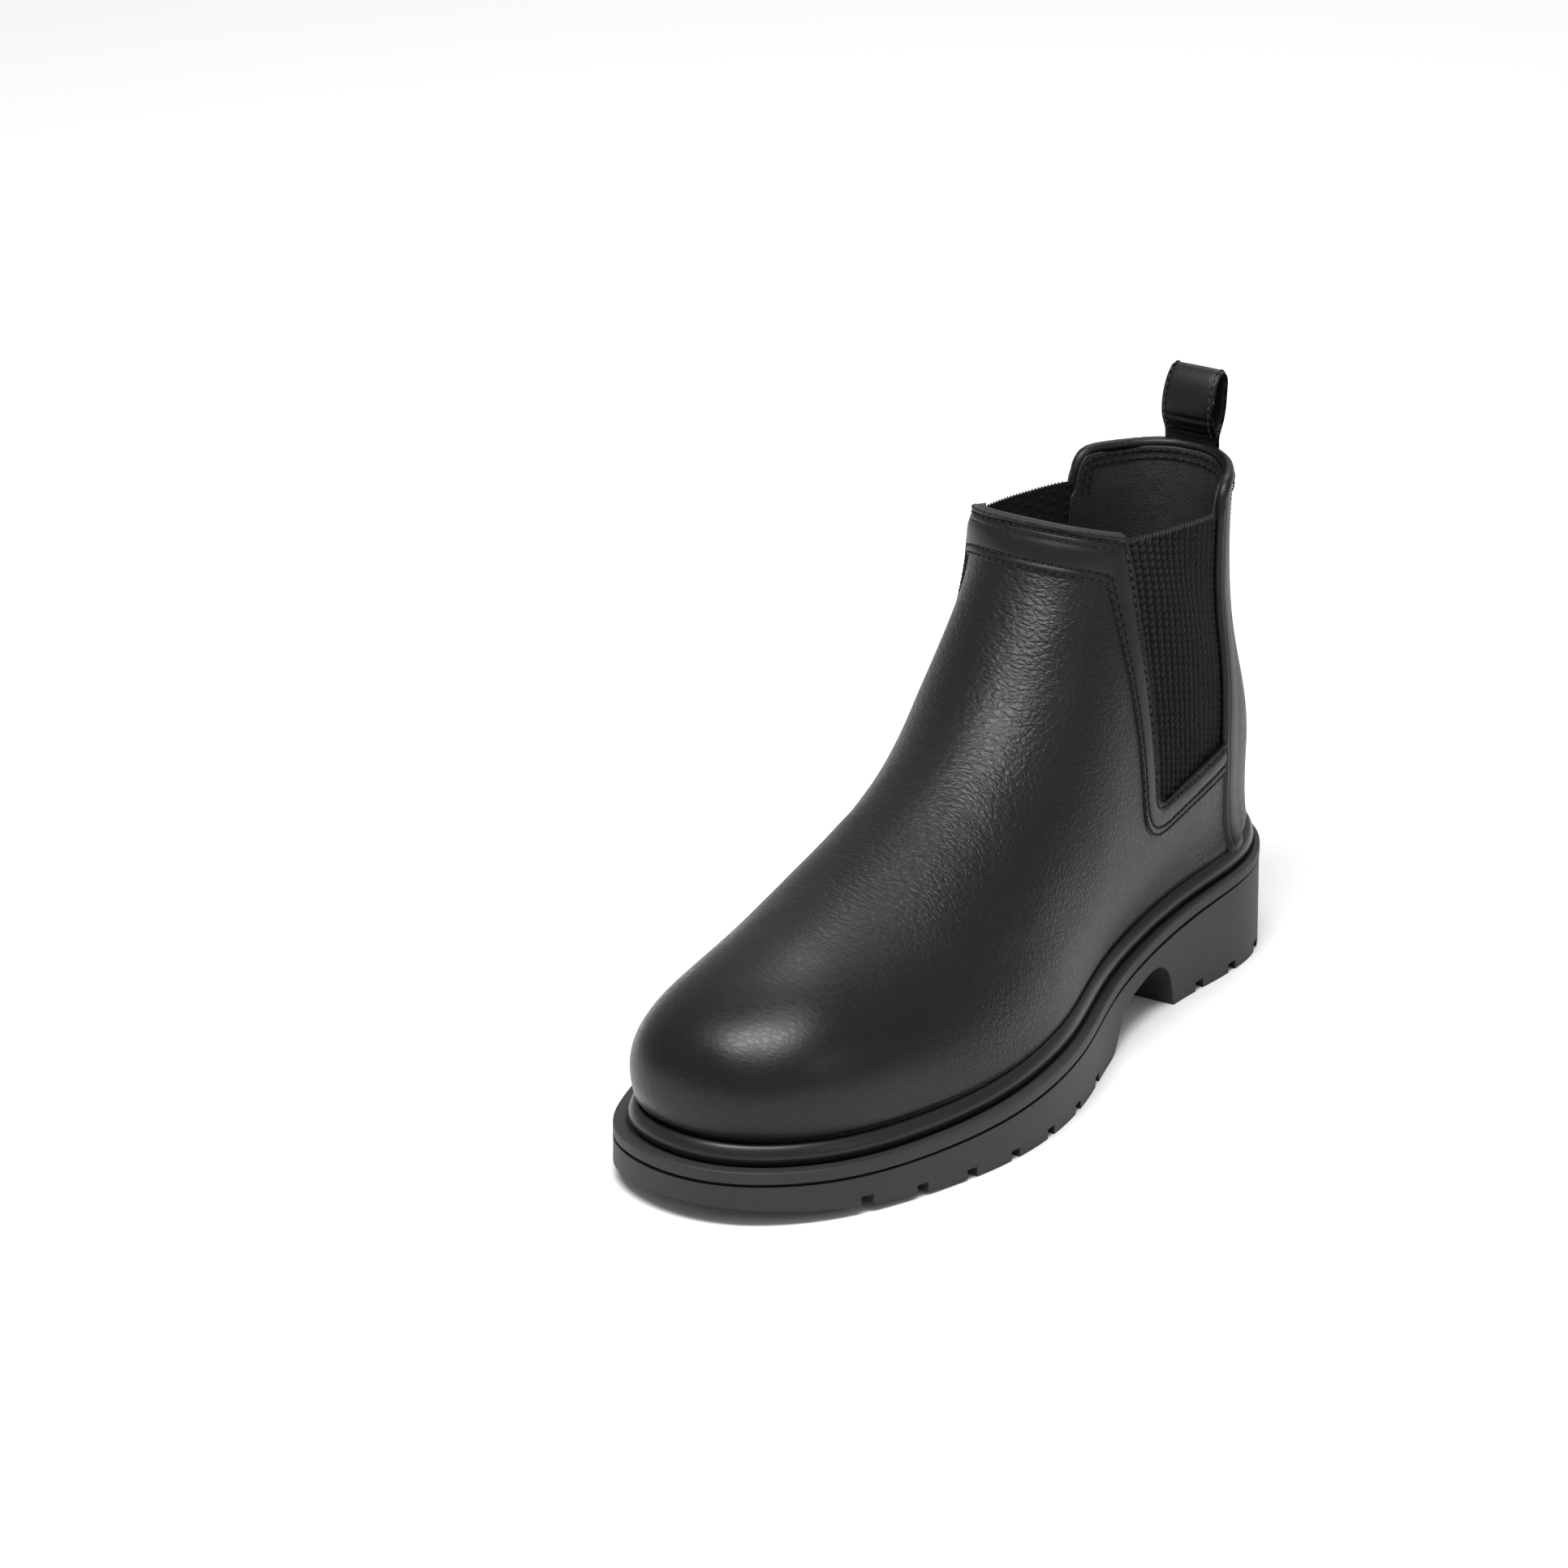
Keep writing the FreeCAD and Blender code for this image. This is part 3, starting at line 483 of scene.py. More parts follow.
def leather(name, base, light, roughness, pebble_mm, pebble, pores=0.15, stretch=0.5, toe_polish=False,
            bump_mm=0.16):
    """Leather: pebbles are Voronoi cells whose borders sink, over fine pores; worn tops are a little
    lighter and smoother. stretch under 1 draws the cells out across the foot."""
    material, tree, shader = new_material(name, base, roughness, Specular_IOR_Level=0.34)
    place = add(tree, "ShaderNodeTexCoord").outputs["Object"]
    warp = add(tree, "ShaderNodeTexNoise", {"Vector": place}, Scale=160.0, Detail=3.0)
    bent = add(tree, "ShaderNodeMix", {6: place, 7: warp.outputs["Color"]}, data_type="RGBA",
               blend_type="LINEAR_LIGHT")
    bent.inputs[0].default_value = 0.0009
    drawn = add(tree, "ShaderNodeMapping", {"Vector": bent.outputs[2]})
    drawn.inputs["Scale"].default_value = (1.0, stretch, 1.0)
    cells = add(tree, "ShaderNodeTexVoronoi", {"Vector": drawn.outputs[0]}, feature="DISTANCE_TO_EDGE",
                Scale=1000 / pebble_mm)
    small = add(tree, "ShaderNodeTexVoronoi", {"Vector": drawn.outputs[0]}, feature="DISTANCE_TO_EDGE",
                Scale=1900 / pebble_mm)
    fine = add(tree, "ShaderNodeTexNoise", {"Vector": place}, Scale=2600.0, Detail=3.0)
    patch = add(tree, "ShaderNodeTexNoise", {"Vector": place}, Scale=28.0, Detail=3.0)
    crown = ramp(tree, cells.outputs["Distance"], 0.0, 0.30)
    crown_small = ramp(tree, small.outputs["Distance"], 0.0, 0.32)
    height = sum_of(tree, (crown, 0.65 * pebble), (crown_small, 0.35 * pebble), (fine.outputs["Fac"], pores))
    cloud = sum_of(tree, (patch.outputs["Fac"], 0.14))
    if toe_polish:
        axis = add(tree, "ShaderNodeSeparateXYZ", {0: place})
        smoothing = ramp(tree, axis.outputs["X"], 0.045, 0.105, 1.0, 0.16)
        height = product(tree, height, smoothing)
        shine = ramp(tree, axis.outputs["X"], 0.06, 0.12, roughness, roughness * 0.86)
        rough = add(tree, "ShaderNodeMath", {0: shine, 1: cloud}, operation="ADD")
    else:
        rough = add(tree, "ShaderNodeMath", {0: cloud}, operation="ADD")
        rough.inputs[1].default_value = roughness
    worn = sum_of(tree, (crown, 0.08 * pebble))
    rough = add(tree, "ShaderNodeMath", {0: rough.outputs[0], 1: worn}, operation="SUBTRACT")
    tree.links.new(rough.outputs[0], shader.inputs["Roughness"])
    bump = add(tree, "ShaderNodeBump", {"Height": height}, Strength=0.8, Distance=bump_mm * 0.001)
    tree.links.new(bump.outputs[0], shader.inputs["Normal"])
    tone = add(tree, "ShaderNodeMix", {0: product(tree, crown, patch.outputs["Fac"])}, data_type="RGBA")
    tone.inputs[6].default_value, tone.inputs[7].default_value = colour(base), colour(light)
    tree.links.new(tone.outputs[2], shader.inputs["Base Color"])
    return material

# %% The boot's finishes
# Vamp: 2 mm pebbles drawn out round the instep, brushed nearly flat over the stiffened toe, so
# the toe has one soft highlight and the instep glitters. The heel's pebbles are a little finer.
grain = leather("drummed_grain_leather", "08080a", "121214", 0.38, 2.0, 1.0, stretch=0.42, toe_polish=True)
heel_grain = leather("drummed_grain_leather_heel", "08080a", "121214", 0.42, 1.8, 0.8)
# Facings and tab: smooth calf under wax, which reads as clean dark bands with a pale edge.
smooth = leather("smooth_calf_leather", "08080a", "101011", 0.37, 1.1, 0.22, pores=0.12, stretch=1.0)
# Lining: undressed on its face, so it is duller and shows its pores; its base is painted a lighter grey than
# the upper, painted light standing in for the light that reaches inside the shaft.
lining_leather = leather("lining_leather", "28282a", "38383b", 0.5, 1.2, 0.6, pores=0.3, stretch=1.0,
                         bump_mm=0.22)


def rubber(name, base, light, roughness, grit_mm, grit):
    """Moulded rubber: the mould's spark-eroded skin leaves an even fine grit."""
    material, tree, shader = new_material(name, base, roughness, ior=1.52, Specular_IOR_Level=0.35)
    place = add(tree, "ShaderNodeTexCoord").outputs["Object"]
    speck = add(tree, "ShaderNodeTexNoise", {"Vector": place}, Scale=1000 / grit_mm, Detail=2.0)
    cloud = add(tree, "ShaderNodeTexNoise", {"Vector": place}, Scale=40.0, Detail=4.0)
    mottle = sum_of(tree, (speck.outputs["Fac"], 0.6), (cloud.outputs["Fac"], 0.4))
    tone = add(tree, "ShaderNodeMix", {0: mottle}, data_type="RGBA")
    tone.inputs[6].default_value, tone.inputs[7].default_value = colour(base), colour(light)
    tree.links.new(tone.outputs[2], shader.inputs["Base Color"])
    bump = add(tree, "ShaderNodeBump", {"Height": speck.outputs["Fac"]}, Strength=grit, Distance=0.0002)
    tree.links.new(bump.outputs[0], shader.inputs["Normal"])
    return material


# The sole comes dull and grey out of a textured mould; the bead is extruded, darker and glossier.
sole_rubber = rubber("moulded_sole_rubber", "1a1a1b", "303031", 0.58, 0.55, 1.0)
bead_rubber = rubber("moulded_welt_rubber", "101011", "1a1a1c", 0.36, 0.8, 0.10)


def woven(name, base, light, painted_relief_shade=False):
    """Elastic web: polyester yarn over rubber, dull, with fuzz that catches grazing light. Given the height
    attribute, its colour is painted black in the gaps and pale on the crowns: painted shade and painted
    highlight.
    """
    material, tree, shader = new_material(name, base, 0.9, Specular_IOR_Level=0.15, Sheen_Weight=0.04,
                                          Sheen_Roughness=0.5)
    place = add(tree, "ShaderNodeTexCoord").outputs["Object"]
    yarn = add(tree, "ShaderNodeTexNoise", {"Vector": place}, Scale=1800.0, Detail=4.0, Roughness=0.7)
    yarn_tone_and_shade = ramp(tree, yarn.outputs["Fac"], 0.35, 0.7)
    # The web's colour is painted from its height: painted shade in the low gaps, painted highlight on the
    # crowns.
    if painted_relief_shade:
        shade_by_height = add(tree, "ShaderNodeAttribute", attribute_name="painted_relief_shade").outputs["Fac"]
        yarn_tone_and_shade = product(tree, add(tree, "ShaderNodeMath", {0: yarn_tone_and_shade}, operation="ADD").outputs[0], shade_by_height)
    tone = add(tree, "ShaderNodeMix", {0: yarn_tone_and_shade}, data_type="RGBA")
    tone.inputs[6].default_value, tone.inputs[7].default_value = colour(base), colour(light)
    tree.links.new(tone.outputs[2], shader.inputs["Base Color"])
    bump = add(tree, "ShaderNodeBump", {"Height": yarn.outputs["Fac"]}, Strength=1.0, Distance=0.0004)
    tree.links.new(bump.outputs[0], shader.inputs["Normal"])
    return material


# Yarns: the elastic's crowns are painted pale and its gaps painted black by their height, painted highlight
# and painted shade; a cut leather edge is furry and grey;
# thread is waxed but dull, paler where it is rubbed; a needle hole is a fuzzy black dot.
elastic = woven("ribbed_elastic_web", "020203", "19191b", painted_relief_shade=True)
fray = woven("frayed_leather_edge", "141415", "333335")
thread = woven("bonded_polyester_thread", "141416", "2e2e31")
thread_light = woven("bonded_polyester_thread_worn", "2a2a2d", "4a4a4e")
needle_hole = woven("needle_hole_shadow", "010101", "050506")
print(len(bpy.data.materials), "materials")

# %% [markdown]
# The camera looks down a little at the toe and the outer side, from far off with a long
# lens, as for a catalogue. The light is soft and pale: a big panel over the boot, one at the
# outer side, one behind, and a bright room round it, so black leather shows as soft grey highlights.

# %% Camera, floor and light
azimuth, elevation = math.radians(122.92), math.radians(21.97)
EYE_BACK, EYE_LEFT, EYE_UP = 3082.0, 54.06, 84.35          # from under the arch to the lens
LENS, SENSOR = 223.02, 36.0
right = Vector((math.cos(azimuth), math.sin(azimuth), 0))
level_back = Vector((math.sin(azimuth), -math.cos(azimuth), 0))
back = level_back * math.cos(elevation) + Vector((0, 0, math.sin(elevation)))
up = back.cross(right)
eye = Vector(SHIFT) + back * EYE_BACK - right * EYE_LEFT + up * EYE_UP
camera_data = bpy.data.cameras.new("catalogue_camera")
camera_data.lens, camera_data.sensor_width, camera_data.clip_end = LENS, SENSOR, 50.0
camera = bpy.data.objects.new("catalogue_camera", camera_data)
camera.matrix_world = Matrix([[right[i], up[i], back[i], eye[i] * MM] for i in range(3)] + [[0, 0, 0, 1]])
bpy.context.scene.collection.objects.link(camera)
bpy.context.scene.camera = camera

paper, paper_tree, paper_shader = new_material("white_studio_paper", "f4f4f5", 0.9)
fibres = add(paper_tree, "ShaderNodeTexNoise", Scale=300.0)
paper_bump = add(paper_tree, "ShaderNodeBump", {"Height": fibres.outputs["Fac"]}, Strength=0.05,
                 Distance=0.0002)
paper_tree.links.new(paper_bump.outputs[0], paper_shader.inputs["Normal"])
floor_mesh = bpy.data.meshes.new("studio_floor")
floor_mesh.from_pydata([(-6, -6, 0), (6, -6, 0), (6, 6, 0), (-6, 6, 0)], [], [(0, 1, 2, 3)])
floor_mesh.materials.append(paper)
floor = bpy.data.objects.new("studio_floor", floor_mesh)
bpy.context.scene.collection.objects.link(floor)

world = bpy.data.worlds.new("bright_room")
world.use_nodes = True
world.node_tree.nodes["Background"].inputs["Color"].default_value = (1.0, 1.0, 1.0, 1)
world.node_tree.nodes["Background"].inputs["Strength"].default_value = 0.42
bpy.context.scene.world = world


def panel_light(name, place, size, watts, target=(0, 0, 0.08)):
    """A soft lamp at place, turned towards the boot, its long side level with the picture."""
    data = bpy.data.lights.new(name, "AREA")
    data.shape, data.size, data.size_y, data.energy = "RECTANGLE", size[0], size[1], watts
    lamp = bpy.data.objects.new(name, data)
    lamp.location = place
    behind = (Vector(place) - Vector(target)).normalized()
    level = (right - behind * right.dot(behind)).normalized()
    rows = [[level[i], behind.cross(level)[i], behind[i]] for i in range(3)]
    lamp.rotation_euler = Matrix(rows).to_euler()
    bpy.context.scene.collection.objects.link(lamp)


panel_light("overhead_panel", (0.50, 0.12, 1.5), (1.15, 0.5), 32)
panel_light("outer_side_panel", (0.2, 1.9, 1.0), (0.5, 0.6), 2.2)
panel_light("back_panel", (-1.2, -0.5, 1.5), (0.9, 0.6), 8)
bpy.context.scene.view_settings.view_transform = "Standard"
print("camera at", [round(v, 3) for v in camera.matrix_world.translation])

# %% [markdown]
# The sole's wall, groove and tread are the load-bearing shape as it stands, so the
# outsole keeps its mesh and only gets a rubber finish. The midsole strip and the welt
# bead are profiles carried round the plan outline, which rounds their edges.

# %% Midsole strip and welt bead
def ring_sweep(name, profile, material):
    """A profile carried round the sole: each profile point is (inset, growth, height above sole_top)."""
    rings = []
    for inset, growth, height in profile:
        p = plan_points(inset, growth, 540)
        rings.append(np.column_stack([p, sole_top(plan_points(0, 0, 540)[:, 0]) + height]))
    rings = np.stack(rings, 1)
    return tube_mesh(name, rings, material, closed=True)


g = CHANNEL_GROWTH
midsole = ring_sweep("midsole_strip", [
    (1.2, 0, -4.1), (0.35, 0, -4.0), (0.05, 0, -3.7), (0, 0, -3.0), (0, 0, -1.0), (0.06, 0, -0.45),
    (0.3, 0, -0.1), (0.7, 0, 0.0), (1.4, 0.6 * g, 0.0), (1.75, 0.75 * g, -0.15), (2.0, 0.8 * g, -0.7),
    (2.8, 0.8 * g, -0.9), (6.0, g, -0.9), (20.0, g, -0.9), (20.0, g, -4.1)], sole_rubber)
turns = np.radians(np.arange(0, 360, 18.0))
lean_in = np.maximum(np.sin(turns), 0)
bead_profile = np.column_stack([3.75 - 1.75 * np.cos(turns) + 0.5 * lean_in, g * (0.8 + 0.12 * lean_in),
                                2.75 + 3.45 * np.sin(turns)])
bead = ring_sweep("welt_bead_roll", bead_profile, bead_rubber)
for piece, node, slot in ((midsole, "midsole", "midsole_rubber"), (bead, "welt_bead", "bead_rubber")):
    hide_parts(node)
    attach(piece, "root")
print("rings:", len(midsole.data.polygons), len(bead.data.polygons))

# %% [markdown]
# The pattern: lines that the maker cuts and sews along, drawn in side view. Each line is
# laid on the shaft as (angle, height). The elastic's window is a curved V, and the smooth
# facing is one strip between the window's edge and a line about 10 mm outside it.

# %% Pattern lines
# The elastic's window in side view: x of its front edge, height of its foot at the front and at
# the heel, x of its rear edge low and high. Then the facing's width, and the front topline.
GORE_FRONT, GORE_TIP, GORE_HEEL, BACK_LOW, BACK_HIGH = -57.0, 72.0, 77.0, -105.6, -114.8
BAND = 10.0
TOPLINE, TOPLINE_SLOPE = 161.4, 0.314
FACING_FOOT, FACING_SLOPE = 148.5, 0.31


def under_topline(x, z, drop):
    """How far a side-view point is above a line drop millimetres under the front topline."""
    return z - (TOPLINE + TOPLINE_SLOPE * (x - GORE_FRONT) - drop)


def in_window(x, z, tuck):
    """True inside the elastic's window, whose edges are let out by tuck at the front and foot."""
    return (x < GORE_FRONT + tuck) & (z > GORE_TIP - tuck + 0.1 * (GORE_FRONT - x))


def corner_path(points, counts):
    """A line with rounded corners, sampled so that part k runs from the middle of corner k to
    the middle of corner k + 1. A corner (x, z, r) is a parabola between points r before and after."""
    corners = [(np.array(p[:2], float), p[2] if len(p) > 2 else 0.0) for p in points]
    found = []
    for k, count in enumerate(counts):
        (a, ra), (b, rb) = corners[k], corners[k + 1]
        d = (b - a) / np.linalg.norm(b - a)
        dense = [a + d * ra, b - d * rb]
        s = np.linspace(0, 1, 24)[:, None]
        if ra:
            before = a + (corners[k - 1][0] - a) / np.linalg.norm(corners[k - 1][0] - a) * ra
            t = 0.5 + 0.5 * s
            dense[:1] = list((1 - t) ** 2 * before + 2 * t * (1 - t) * a + t ** 2 * (a + d * ra))
        if rb:
            after = b + (corners[k + 2][0] - b) / np.linalg.norm(corners[k + 2][0] - b) * rb
            t = 0.5 * s
            dense[-1:] = list((1 - t) ** 2 * (b - d * rb) + 2 * t * (1 - t) * b + t ** 2 * after)
        dense = np.array(dense)
        along = lengths(dense)
        at = np.linspace(0, along[-1], count)
        found.append(np.stack([np.interp(at, along, dense[:, i]) for i in (0, 1)], -1))
    return found


def height_on_line(angle, x0, z0, slope):
    """Height at which the shaft's side view crosses the line z = z0 + slope * (x - x0), at an angle."""
    z = np.full(np.shape(angle), float(z0))
    for _ in range(12):
        z = z0 + slope * (shaft(angle, z)[..., 0] - x0)
    return z


def facing_edges(inner_shift=0.0, outer_shift=0.0):
    """Edges of the front facing on the outer side, as (angle, z) from the rear seam to the ridge.
    inner_shift widens the window, outer_shift moves the outer edge outwards."""
    i, o = inner_shift, outer_shift
    counts = (76, 150)
    inner = corner_path([(BACK_LOW - i, GORE_HEEL - i), (GORE_FRONT + i, GORE_TIP - i, 7 + i),
                         (GORE_FRONT + i, TOPLINE), (GORE_FRONT + i + 9, TOPLINE + 1.6)], counts)
    front = GORE_FRONT + BAND + o
    foot = FACING_FOOT - o
    outer = corner_path([(BACK_LOW - 0.2, GORE_HEEL - BAND - 1 - o), (front, GORE_TIP - BAND - 1.5 - o, 17),
                         (front, foot, 2), (GORE_FRONT + BAND + 40, foot + 12.5)], counts)
    edges = []
    for parts, line in ((inner, (GORE_FRONT, TOPLINE, TOPLINE_SLOPE)),
                        (outer, (GORE_FRONT + BAND, foot, FACING_SLOPE))):
        p = np.concatenate([parts[0], parts[1][1:]])
        a = angle_of(p[:, 0], p[:, 1], 1)
        tail = np.linspace(a[-1], 0, 90)[1:]
        z = height_on_line(tail, *line)
        if parts is outer:
            z = z + (p[-1, 1] - z[0]) * np.linspace(1, 0, 89) ** 16
        edges.append(np.stack([np.append(a, tail), np.append(p[:, 1], z)], -1))
    return edges


def both_sides(edge):
    """The outer side's line from rear seam to ridge, carried on over the ridge down the inner side."""
    x = shaft(edge[:, 0], edge[:, 1])[:, 0]
    other = edge.copy()
    steep = np.abs(edge[:, 0]) > 0.45
    other[steep, 0] = -angle_of(x[steep], edge[steep, 1], -1)
    if (~steep).any():
        first = int(np.nonzero(~steep)[0][0])
        ratio = other[first - 1, 0] / edge[first - 1, 0] if first else 1.0
        share = np.abs(edge[~steep, 0]) / max(abs(edge[first - 1, 0]), .1)
        other[~steep, 0] = edge[~steep, 0] * (1 + (ratio - 1) * share)
    return np.concatenate([edge, (other * [-1, 1])[::-1][1:]])


inner_edge, outer_edge = (both_sides(e) for e in facing_edges())


def on_strip(inner, outer, t, depth=0.0):
    """Point of a strip between two pattern lines: t = 0 on the inner line, 1 on the outer."""
    mix = inner + (outer - inner) * np.asarray(t)[..., None]
    return shaft(mix[..., 0], mix[..., 1], depth)


def outward(points, angle):
    """Unit normals of a row of points on the shaft, level with the ground's plane or nearly."""
    tangent = np.gradient(points, axis=0)
    tangent /= np.maximum(np.linalg.norm(tangent, axis=1), 1e-9)[:, None]
    radial = np.stack([np.cos(angle), np.sin(angle), np.zeros_like(angle)], -1)
    n = radial - tangent * np.sum(radial * tangent, 1)[:, None]
    return n / np.linalg.norm(n, axis=1)[:, None]


width = np.linalg.norm(on_strip(inner_edge, outer_edge, np.zeros(len(inner_edge)))
                       - on_strip(inner_edge, outer_edge, np.ones(len(inner_edge))), axis=1)
print("facing is", width.min().round(1), "to", width.max().round(1), "mm wide at", len(width), "stations")

# %% [markdown]
# The vamp is one piece of drummed leather, drawn over the toe and up the instep. It is
# the skin on its own (u, v) grid, a touch uneven as lasted leather is, and it turns in at
# the bead. Under the facing it stops short, so nothing shows double in the window.

# %% Vamp
def seam_x(z):
    """x of the rear seam at a height."""
    return np.interp(z, [28, 77, 176], [-107.8, -105.6, -116.0])


def vamp_grid(rows=132, columns=274):
    """The skin from rear seam to rear seam, with its lower edge turned in and slow unevenness."""
    u = np.linspace(-0.93, 0.93, columns)[None, :]
    v = np.concatenate([[-0.035, -0.012, 0.0, 0.003, 0.006], np.linspace(0, 1, rows - 4)[1:]])[:, None]
    p = smooth_rows(skin(u, v), 3)
    n = normals(p)
    n[:3] = n[3]
    turned = np.clip(1 - v / 0.009, 0, 1) ** 1.5
    uneven = noise(p, 24.0, 3) * 0.28 + noise(p, 9.0, 4) * 0.07
    crease = hump(p[..., 0], 22 + 0.12 * p[..., 1], 5.0) + 0.7 * hump(p[..., 0], 36 - 0.1 * p[..., 1], 4.0)
    crease = crease * step(p[..., 2], 62, 84) * (0.6 + 0.4 * noise(p, 14.0, 8))
    shift = uneven * step(v, 0.0, 0.08) - 0.3 * crease - 0.7 * turned
    return p, n, shift[..., None]


points, n, shift = vamp_grid()
outer = points + n * shift
inner = points + n * (shift - 1.6)
x, y, z = points[..., 0], points[..., 1], points[..., 2]
hidden = (x < seam_x(z) - 1.5) | in_window(x, z, 4.6) | (under_topline(x, z, 5.0) > 0)
hidden = hidden | ((np.abs(x - GORE_FRONT - 0.2) < 5.2) & (under_topline(x, z, 6.0) > 0))
keep = ~(hidden[:-1, :-1] & hidden[1:, :-1] & hidden[:-1, 1:] & hidden[1:, 1:])
vamp = sheet_mesh("vamp_skin", outer, inner, grain, keep=keep)
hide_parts("vamp_front", "vamp_instep")
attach(vamp, "root")
print("vamp:", len(vamp.data.polygons), "faces")

# %% [markdown]
# The facing is thin smooth leather folded round the window's edge and sewn down with two
# double rows. Its profile across is: raw lip at the elastic, a valley where the thread
# pulls it down, a padded swell, the outer valley, then a bevelled edge on the vamp.

# %% Front facing
def facing_height(d_in, d_out, wide, top):
    """Height of the facing above the skin at distances from its two edges; top is 1 along the topline."""
    lip = 0.35 * hump(d_in, 0.55, 0.5)
    valley_in = 0.45 * hump(d_in, 2.0, 0.8) + 0.35 * top * hump(d_in, 4.4, 0.8)
    valley_out = 0.28 * hump(d_out, 1.0, 0.5) + 0.32 * hump(d_out, 3.4, 0.7)
    swell = (0.25 + 0.25 * top) * np.sin(np.pi * np.clip((d_in - 2.6) / (wide - 6.4), 0, 1))
    bevel = 0.62 * (1 - np.clip(1 - d_out / 0.7, 0, 1) ** 2)
    return bevel + lip - valley_in - valley_out + swell


t = np.concatenate([np.linspace(0, 0.3, 12), np.linspace(0.3, 0.7, 9)[1:], np.linspace(0.7, 1, 13)[1:]])
edge_in, edge_out = inner_edge[:, None, :], outer_edge[:, None, :]
wide = width[:, None]
station = np.arange(len(width))
topness = step(station, 224, 238) * (1 - step(station, len(width) - 239, len(width) - 225))
h = facing_height(t * wide, (1 - t) * wide, wide, topness[:, None])
flat = on_strip(edge_in, edge_out, np.broadcast_to(t, h.shape))
h = h + 0.10 * noise(flat, 7.0, 11) + 0.05 * noise(flat, 2.5, 12)
outer = on_strip(edge_in, edge_out, np.broadcast_to(t, h.shape), -h)
under = np.where(t * wide < 4.0, 1.5, -0.02)
inner = on_strip(edge_in, edge_out, np.broadcast_to(t, h.shape), np.minimum(under, 1.5))
facing = sheet_mesh("front_facing_strip", outer, inner, smooth)
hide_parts("front_facing")
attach(facing, "root")
print("facing:", len(facing.data.polygons), "faces")

# %% [markdown]
# A raw leather edge is pale and furry where the knife went through. Round the window and
# along the front topline it is a thin uneven cord of that edge.

# %% Raw edges
def cord_along(name, centre, normal, radius, material, corners=8, rough=0.0, seed=0):
    """A tube along a row of points; its radius may be an array, and rough makes it uneven."""
    tangent = np.gradient(centre, axis=0)
    tangent /= np.linalg.norm(tangent, axis=1)[:, None]
    side = np.cross(tangent, normal)
    side /= np.linalg.norm(side, axis=1)[:, None]
    up_way = np.cross(side, tangent)
    turn = np.linspace(0, 2 * np.pi, corners, endpoint=False)
    r = np.broadcast_to(np.asarray(radius, float), (len(centre),))[:, None] * np.ones(corners)
    ring = centre[:, None, :] + r[..., None] * (np.cos(turn)[None, :, None] * side[:, None, :]
                                               + np.sin(turn)[None, :, None] * up_way[:, None, :])
    if rough:
        ring = ring + (noise(ring, 0.8, seed)[..., None] * rough) * (ring - centre[:, None, :])
    return tube_mesh(name, ring, material)


def densely(line, spacing):
    """A pattern line resampled at even spacing on the shaft."""
    along = lengths(shaft(line[:, 0], line[:, 1]))
    at = np.linspace(0, along[-1], int(along[-1] / spacing) + 1)
    return np.stack([np.interp(at, along, line[:, i]) for i in (0, 1)], -1)


def strip_line(distance, from_outer=False, first=0, last=None):
    """The pattern line at a distance from the facing's inner (or outer) edge."""
    share = distance / width[:, None]
    share = 1 - share if from_outer else share
    return (inner_edge + (outer_edge - inner_edge) * share)[first:last]


def laid(line, lift):
    """Points and normals of a pattern line lying lift above the skin."""
    p = shaft(line[:, 0], line[:, 1], -lift)
    return p, outward(p, line[:, 0])


lip_line = densely(strip_line(0.35), 0.5)
p, away = laid(lip_line, 0.62)
lip = cord_along("raw_edge_of_facing", p, away, 0.45, fray, rough=0.45, seed=21)
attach(lip, "root")
print("raw edge:", round(lengths(p)[-1]), "mm long")

# %% [markdown]
# Each stitch is a short piece of bonded thread lying in its own dent. One stitch is a
# capsule of five rings; a row of stitches is the same capsule placed at even steps along
# a line, all as one array.

